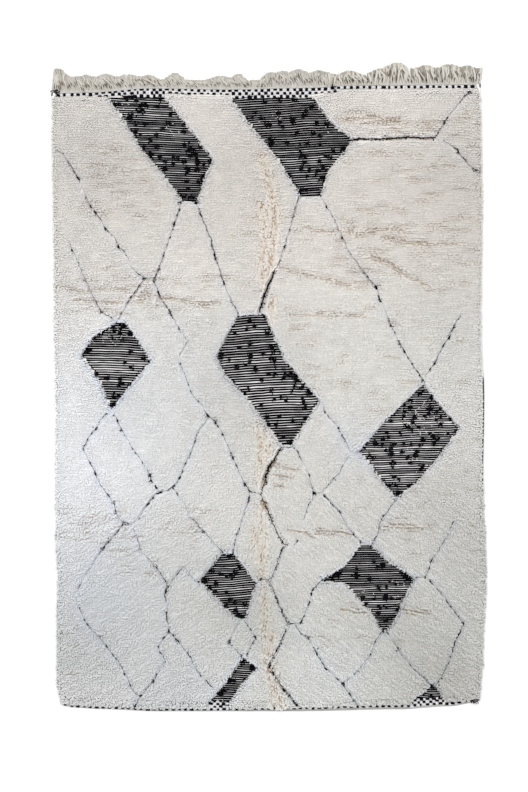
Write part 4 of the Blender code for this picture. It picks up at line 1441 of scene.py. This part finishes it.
form = bmesh.new()
bmesh.ops.create_icosphere(form, subdivisions=1, radius=0.5)
balls = gather("balls", [round_shape("ball", form)])

# %% [markdown]
# ## Checked bands
# Each end of the rug is woven flat. Black and pale wefts float over a few warps in turn and make
# rows of small checks, each a low cushion of wool. The plain hem beyond them is ribbed cloth.

# %% Places of the checks
CHECK_WIDTH = 15 * MM
CHECK_LENGTH = 15.5 * MM
PLAIN_CHECK_LENGTH = 12 * MM
SECOND_ROW = (-0.80, 0.31)
SHORT_CHECK = 0.62

CHECKS_INSET = [
    (-98, 1.25), (-84, 1.2), (-73, 0.6), (-50, 0.7), (-25, 0.9), (0, 0.9), (19, 1.2), (38, 1.3),
    (98, 1.35),
]
PLAIN_CHECKS_INSET = [
    (-98, 0.6), (-80, 0.8), (-50, 0.9), (-14, 1.1), (14, 1.5), (50, 1.6), (78, 1.5), (98, 1.1),
]
checks_across = round(2 * SIDE_LINE / CHECK_WIDTH)
band_width = 2 * (SIDE_LINE - RIM_INSET)


def lay_check(side, row, number):
    """One check as its place, its size and whether it is dark, or nothing where none was woven."""
    edge, insets = (fringed_end_at, CHECKS_INSET) if side > 0 else (plain_end_at, PLAIN_CHECKS_INSET)
    length = CHECK_LENGTH if side > 0 else PLAIN_CHECK_LENGTH
    x = -SIDE_LINE + RIM_INSET + (number + 0.5) * band_width / checks_across
    inset = float(read_table(insets, x / CM)) * CM + row * length
    x += 1.6 * MM * chance.normal()
    y = float(edge(x)) - side * inset + 1.0 * MM * chance.normal()
    if not left_at(y) + 4 * MM < x < right_at(y) - 4 * MM:
        return None
    in_patch = inside_any(CHECKED_PATCHES, np.array([x]), np.array([y]))[0]
    if row > (1 if side > 0 else 0) and not in_patch:
        return None
    if row == 1 and not SECOND_ROW[0] < x < SECOND_ROW[1] and not in_patch and chance.random() > 0.15:
        return None
    wide = CHECK_WIDTH * (1.0 + 0.18 * chance.normal())
    long = length * (0.88 + 0.12 * chance.normal()) * (SHORT_CHECK if row == 1 and not in_patch else 1)
    return x, y, wide, long, (number + row) % 2 == 0


laid = [
    lay_check(side, row, number)
    for side, row in ((1, 0), (1, 1), (1, 2), (-1, 0), (-1, 1), (-1, 2), (-1, 3))
    for number in range(checks_across)
]
laid = np.array([check for check in laid if check], float)
print("checks", len(laid))

# %% Hearts of the tufts, and checks
band_cream_wool = make_wool("band_wool_cream", colour(68, 68, 70), mottle=0.15)
count = len(hearts)
turn = turned_flat(chance.normal(0, 0.35, count))
size = np.column_stack([
    chance.uniform(10, 18, count), chance.uniform(7.5, 12, count), np.full(count, 10)]) * MM
places = np.column_stack([hearts, np.full(count, 9 * MM)])
checks = [plant("tuft_hearts", places, turn, size, np.zeros(count, int), balls, black_wool)]
for name, dark, finish, lift in (
    ("checks_black", 1, black_wool, 5.4 * MM), ("checks_cream", 0, band_cream_wool, 4.6 * MM),
):
    x, y, wide, long = laid[laid[:, 4] == dark, :4].T
    count = len(x)
    turn = turned_flat(chance.normal(0, 0.07, count))
    size = np.column_stack([wide, long, np.full(count, 4.5 * MM)])
    places = np.column_stack([x, y, np.full(count, lift)])
    checks.append(plant(name, places, turn, size, np.zeros(count, int), cushions, finish))

# %% Hem ribs, and the twining that holds the last row at the root of the fringe
HEM_INSETS = (2.5 * MM, 6.0 * MM, 9.5 * MM)
TWINING_INSETS = (2 * MM, -2.5 * MM)
HEM_STEPS = 150


def band_ribs(side, insets, z, radius):
    """Ribs from side to side of the cloth, at distances in from one of its ends."""
    edge = fringed_end_at if side > 0 else plain_end_at
    corner = float(edge(0))
    x = np.linspace(float(left_at(corner)) + RIM_INSET, float(right_at(corner)) - RIM_INSET, HEM_STEPS)
    chains = []
    for inset in insets:
        y = edge(x) - side * inset + 0.5 * MM * smooth_noise(x, x * 0 + inset, 0.03, 81)
        width = radius * (1 + 0.15 * smooth_noise(x, x * 0 + inset, 0.012, 82))
        chains.append((np.column_stack([x, y, np.full(HEM_STEPS, z)]), width))
    return chains


hem_wool = make_wool("hem_wool_grey", colour(42, 41, 38.5), mottle=0.25)
twining_wool = make_wool("twining_wool_pale", colour(56, 54, 50), mottle=0.2)
hems = [
    grow_ribs("hem_ribs", band_ribs(-1, HEM_INSETS, BAND_TOP, 2.1 * MM), 0.6, 5, hem_wool),
    grow_ribs("end_twining", band_ribs(1, TWINING_INSETS, BAND_TOP + 3 * MM, 2.8 * MM), 0.6, 5, twining_wool),
]

# %% [markdown]
# ## The fringe
# The warps leave the cloth side by side and are plied into cords. They lie on the floor where they
# fall: in bunches that meet in a point, longer at the corners, some crossing over others. Thin loose
# yarns fill the left end, and thicker plied cords the right. Between them small dark gaps open, where
# one looks down between the yarns into their shadow. The lower yarns are painted darker as their shade,
# and the shadow in a gap is painted as a dark spindle laid over the yarns.

# %% How the fringe falls
# place, reach, how fast the outline falls off beside it, and how far it draws yarns in
BUNCHES = [
    (-98, 11.3, 0.95, 6), (-91, 7.3, 0.30, 4), (-85, 8.0, 0.35, 2), (-76, 8.0, 0.40, 4),
    (-66, 6.9, 0.30, 3),
    (-56, 6.0, 0.50, 6), (-43.5, 7.0, 0.80, 6), (-22, 6.1, 0.30, 3), (-14, 6.9, 0.90, 5),
    (1, 7.3, 0.80, 4),
    (6.5, 7.8, 0.40, 4), (14, 8.4, 0.50, 6), (23, 7.6, 0.35, 6), (37.5, 6.5, 0.35, 6),
    (51.5, 7.4, 0.50, 4),
    (59.5, 10.1, 0.45, 7), (73, 8.8, 0.35, 6), (84, 9.1, 0.30, 6), (92, 8.5, 0.30, 6),
    (99.5, 7.7, 0.30, 2),
]
LEAST_REACH = 3.9 * CM
BUNCH_GATHER = 0.60
GROUP_LEAN = 2.2 * CM
MEAN_LEAN = -1.8 * CM
THICK_FROM = 0.28

left, right = float(left_at(FRINGED_END)), float(right_at(FRINGED_END))


def fringe_reach(x):
    reaches = [
        reach * CM - slope * max(abs(x - along * CM) - 1 * CM, 0) for along, reach, slope, _ in BUNCHES]
    return max(LEAST_REACH, *reaches)


def fringe_lean(x):
    lean = GROUP_LEAN * float(smooth_noise(x, 0.0, 0.075, 92))
    lean += MEAN_LEAN * (1 - float(ease(np.clip(2 * x, 0, 1))))
    for along, _, _, spread in BUNCHES:
        away = along * CM - x
        lean += BUNCH_GATHER * away * math.exp(-((away / (spread * CM)) ** 2))
    return lean


# %% Gaps between the yarns
GAP_NUMBER = 210
GAP_LENGTH = 0.15
SLIT_TOP = 18 * MM

gap_pick = np.random.default_rng(29)
gap_x = SIDE_LINE * (2 * (np.arange(GAP_NUMBER) + gap_pick.uniform(0.1, 0.9, GAP_NUMBER)) / GAP_NUMBER - 1)
gap_share = gap_pick.uniform(0.16, 0.66, GAP_NUMBER)
gap_half = gap_pick.uniform(1.1, 2.6, GAP_NUMBER) * (1 - 0.42 * near(gap_x + 0.18, 0.36)) * MM
gap_half = gap_half * (1 - 0.6 * near(gap_x - 0.30, 0.06))


def open_gaps(x, share):
    """How far the yarns part sideways round the gaps."""
    shift = 0 * x
    for place, middle, half in zip(gap_x, gap_share, gap_half):
        away = x - place
        opened = half * near(away, 3 * half) * near(share - middle, GAP_LENGTH)
        shift = shift + np.where(away < 0, -1, 1) * opened
    return shift


# %% Yarns
def lay_yarn(x, radius, height, sway, own_lean, seed, steps):
    """One yarn from the cloth's end to its tip, as places and half widths."""
    share = np.linspace(0, 1, steps)
    lean = fringe_lean(x) + own_lean
    tip = min(max(x + lean, left + 14 * MM), right + 8 * MM)
    reach = fringe_reach(tip) * (0.98 + 0.015 * chance.normal())
    y = float(fringed_end_at(x)) - 3 * MM
    y = y + (float(fringed_end_at(tip)) + reach - y) * share
    side = (tip - x) * ease(share) + sway * smooth_noise(share * 0.1, share * 0 + seed, 0.028, 91) * share
    arch = height * np.sin(math.pi * np.clip(share * 1.1, 0, 1))
    z = radius + arch + (BAND_TOP - radius) * (1 - share) ** 3
    width = radius * (1 - 0.20 * share ** 6)
    x = x + side
    x = np.clip(x + open_gaps(x, share), left + radius + 10 * MM * share, right - radius + 10 * MM * share)
    return np.column_stack([x, y, np.maximum(z, width)]), width


def lay_slit(x, middle, half):
    """A dark spindle in a gap, painted shadow laid along the path of a yarn through it."""
    line, _ = lay_yarn(min(max(x, left + 12 * MM), right - 8 * MM), half, 0, 0, 0, 0, 41)
    centre, length = round(40 * middle), gap_pick.integers(3, 7)
    line = line[centre - length:centre + length + 1:2]
    line[:, 2] = SLIT_TOP
    ramp = from_ends(len(line)) / ((len(line) - 1) / 2)
    return line, (0.5 * MM + 1.25 * half) * np.maximum(0.15, ramp ** 0.6)


def spread_yarns(number, start, end, radius, height, sway, loose, steps):
    """Yarns side by side from start to end, each a little different."""
    yarns = []
    for place in range(number):
        x = start + (end - start) * (place + 0.5 + 0.25 * chance.normal()) / number
        x = min(max(x, left + 4 * MM), right - 4 * MM)
        yarns.append((x, radius * (1 + 0.12 * chance.normal()), height * abs(chance.normal()), sway,
                      loose * chance.normal(), 0.37 * place, steps))
    return yarns


under = spread_yarns(172, left, THICK_FROM + 5 * CM, 5.4 * MM, 0, 6 * MM, 3 * MM, 8)
shaded = spread_yarns(101, THICK_FROM - 4 * CM, right, 5.4 * MM, 0, 6 * MM, 3 * MM, 8)
plied = spread_yarns(220, left, THICK_FROM + 3 * CM, 3.4 * MM, 6 * MM, 14 * MM, 12 * MM, 15)
plied += spread_yarns(76, THICK_FROM - 2 * CM, right, 5.2 * MM, 7 * MM, 14 * MM, 12 * MM, 16)
loose = spread_yarns(260, left, right, 2.0 * MM, 5 * MM, 18 * MM, 20 * MM, 11)

fringe_wool = make_wool("fringe_wool_beige", colour(60, 57, 51), colour(15, 10, 6.5), mottle=0.2, fibre=0.5)
# The under layer is the cords' own wool painted darker, as painted shade below them; the shaded wool is
# darker still.
under_wool_shaded = make_wool("fringe_wool_low", colour(50, 47, 42), colour(13, 8.5, 5.5), mottle=0.3, fibre=0.5)
# The slits' dark brown is painted shadow in the gaps.
slit_shadow_wool = make_wool("fringe_wool_brown", colour(9, 5.5, 3.2), colour(9, 5.5, 3.2), mottle=0.4, sheen=0)
shaded_wool = make_wool(
    "fringe_wool_shaded", colour(36, 33, 28), colour(13, 8.5, 5.5), mottle=0.3, fibre=0.5)
fringe = []
for name, yarns, sides, finish in (
    ("fringe_cords", plied, 5, fringe_wool), ("fringe_yarns", loose, 4, fringe_wool),
    ("fringe_under", under, 4, under_wool_shaded), ("fringe_shaded", shaded, 4, shaded_wool),
):
    fringe.append(grow_ribs(name, [lay_yarn(*yarn) for yarn in yarns], 0.65, sides, finish))
slits = [lay_slit(*gap) for gap in zip(gap_x, gap_share, gap_half)]
fringe.append(grow_ribs("fringe_slits", slits, 0.65, 3, slit_shadow_wool))

# %% [markdown]
# ## Bound sides
# The outer warps of each side are wrapped with dark wool into a cord. The wrapping is a row of small
# turns, so the cord swells and narrows every few millimetres. Where the pile hangs over the edge, a
# roll of cream wool at the rim hides the cord, and where it doesn't, the cord moves out into view.

# %% Side cords and rims
CORD_RADIUS = 4.0 * MM
CORD_INSET = 3.4 * MM
WRAP_STEP = 3.2 * MM
CORD_END = 2.4 * CM
HIDDEN_INSET = 6.5 * MM
RIM_RADIUS = 7.5 * MM
RIM_HEIGHT = 10 * MM

binding_wool = make_wool("binding_wool_dark", colour(4.5, 4.2, 4.8), mottle=0.6)
selvedges, rims = [], []
for word, side, edge in (("left", -1, left_at), ("right", 1, right_at)):
    low, high = float(plain_end_at(side * SIDE_LINE)) + CORD_END, float(fringed_end_at(side * SIDE_LINE))
    steps = round((high - low) / WRAP_STEP)
    y = np.linspace(low, high, steps)
    bare = np.clip(uncovered(side, y), 0, 1)
    bare = np.maximum(bare, ease(np.clip((y - high + CORD_END) / (0.5 * CORD_END), 0, 1)))
    bare = np.minimum(1, 1.8 * bare)
    x = edge(y) - side * (CORD_INSET + HIDDEN_INSET * (1 - bare))
    wraps = 0.93 + 0.07 * np.where(np.arange(steps) % 2, 1, -1)
    cord = np.column_stack([x, y, CORD_RADIUS * (1 + bare)]), CORD_RADIUS * (0.75 + 0.25 * bare) * wraps
    selvedges.append(grow_ribs(f"binding_{word}", [cord], 1.0, 5, binding_wool))

    x = (edge(y) - side * (RIM_RADIUS + HIDDEN_INSET * bare))[::2]
    y = y[::2]
    plain = np.zeros(len(y))
    width = RIM_RADIUS * (1 + 0.04 * smooth_noise(y, y * 0 + side, 0.014, 85))
    roll = np.column_stack([x, y, plain + RIM_HEIGHT]), width
    rims.append(grow_ribs(f"rim_{word}", [roll], 0.75, 6, pile_wool,
                          shade=zone_shade(x, y), warm=plain, cool=plain, deep=plain))

# %% [markdown]
# ## Fixing each piece to the rug's body
# Every piece lies still on the rug's one body. The ground cloth stands for the cloth's solid, and the
# imported cloth, fringe and selvedges are hidden; the other pieces lie with it.

# %% Attaching the pieces
riders = [*pile, *weave, black_knots, black_lines, parting_roots, *checks, *hems, *fringe, *rims, *selvedges]
for piece in [ground, *riders]:
    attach(piece, "root")
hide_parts("rug_cloth")
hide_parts("warp_fringe")
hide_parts("selvedge_left")
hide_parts("selvedge_right")

for collection in (lock_shapes, black_shapes, cushions, balls):
    for shape in list(collection.objects):
        bpy.data.objects.remove(shape)
    bpy.data.collections.remove(collection)

# %% Sizes
low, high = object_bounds()
sizes = {"cad": [list(cad_low), list(cad_high)], "visual": [list(low), list(high)]}
print("visual from", tuple(low), "to", tuple(high))
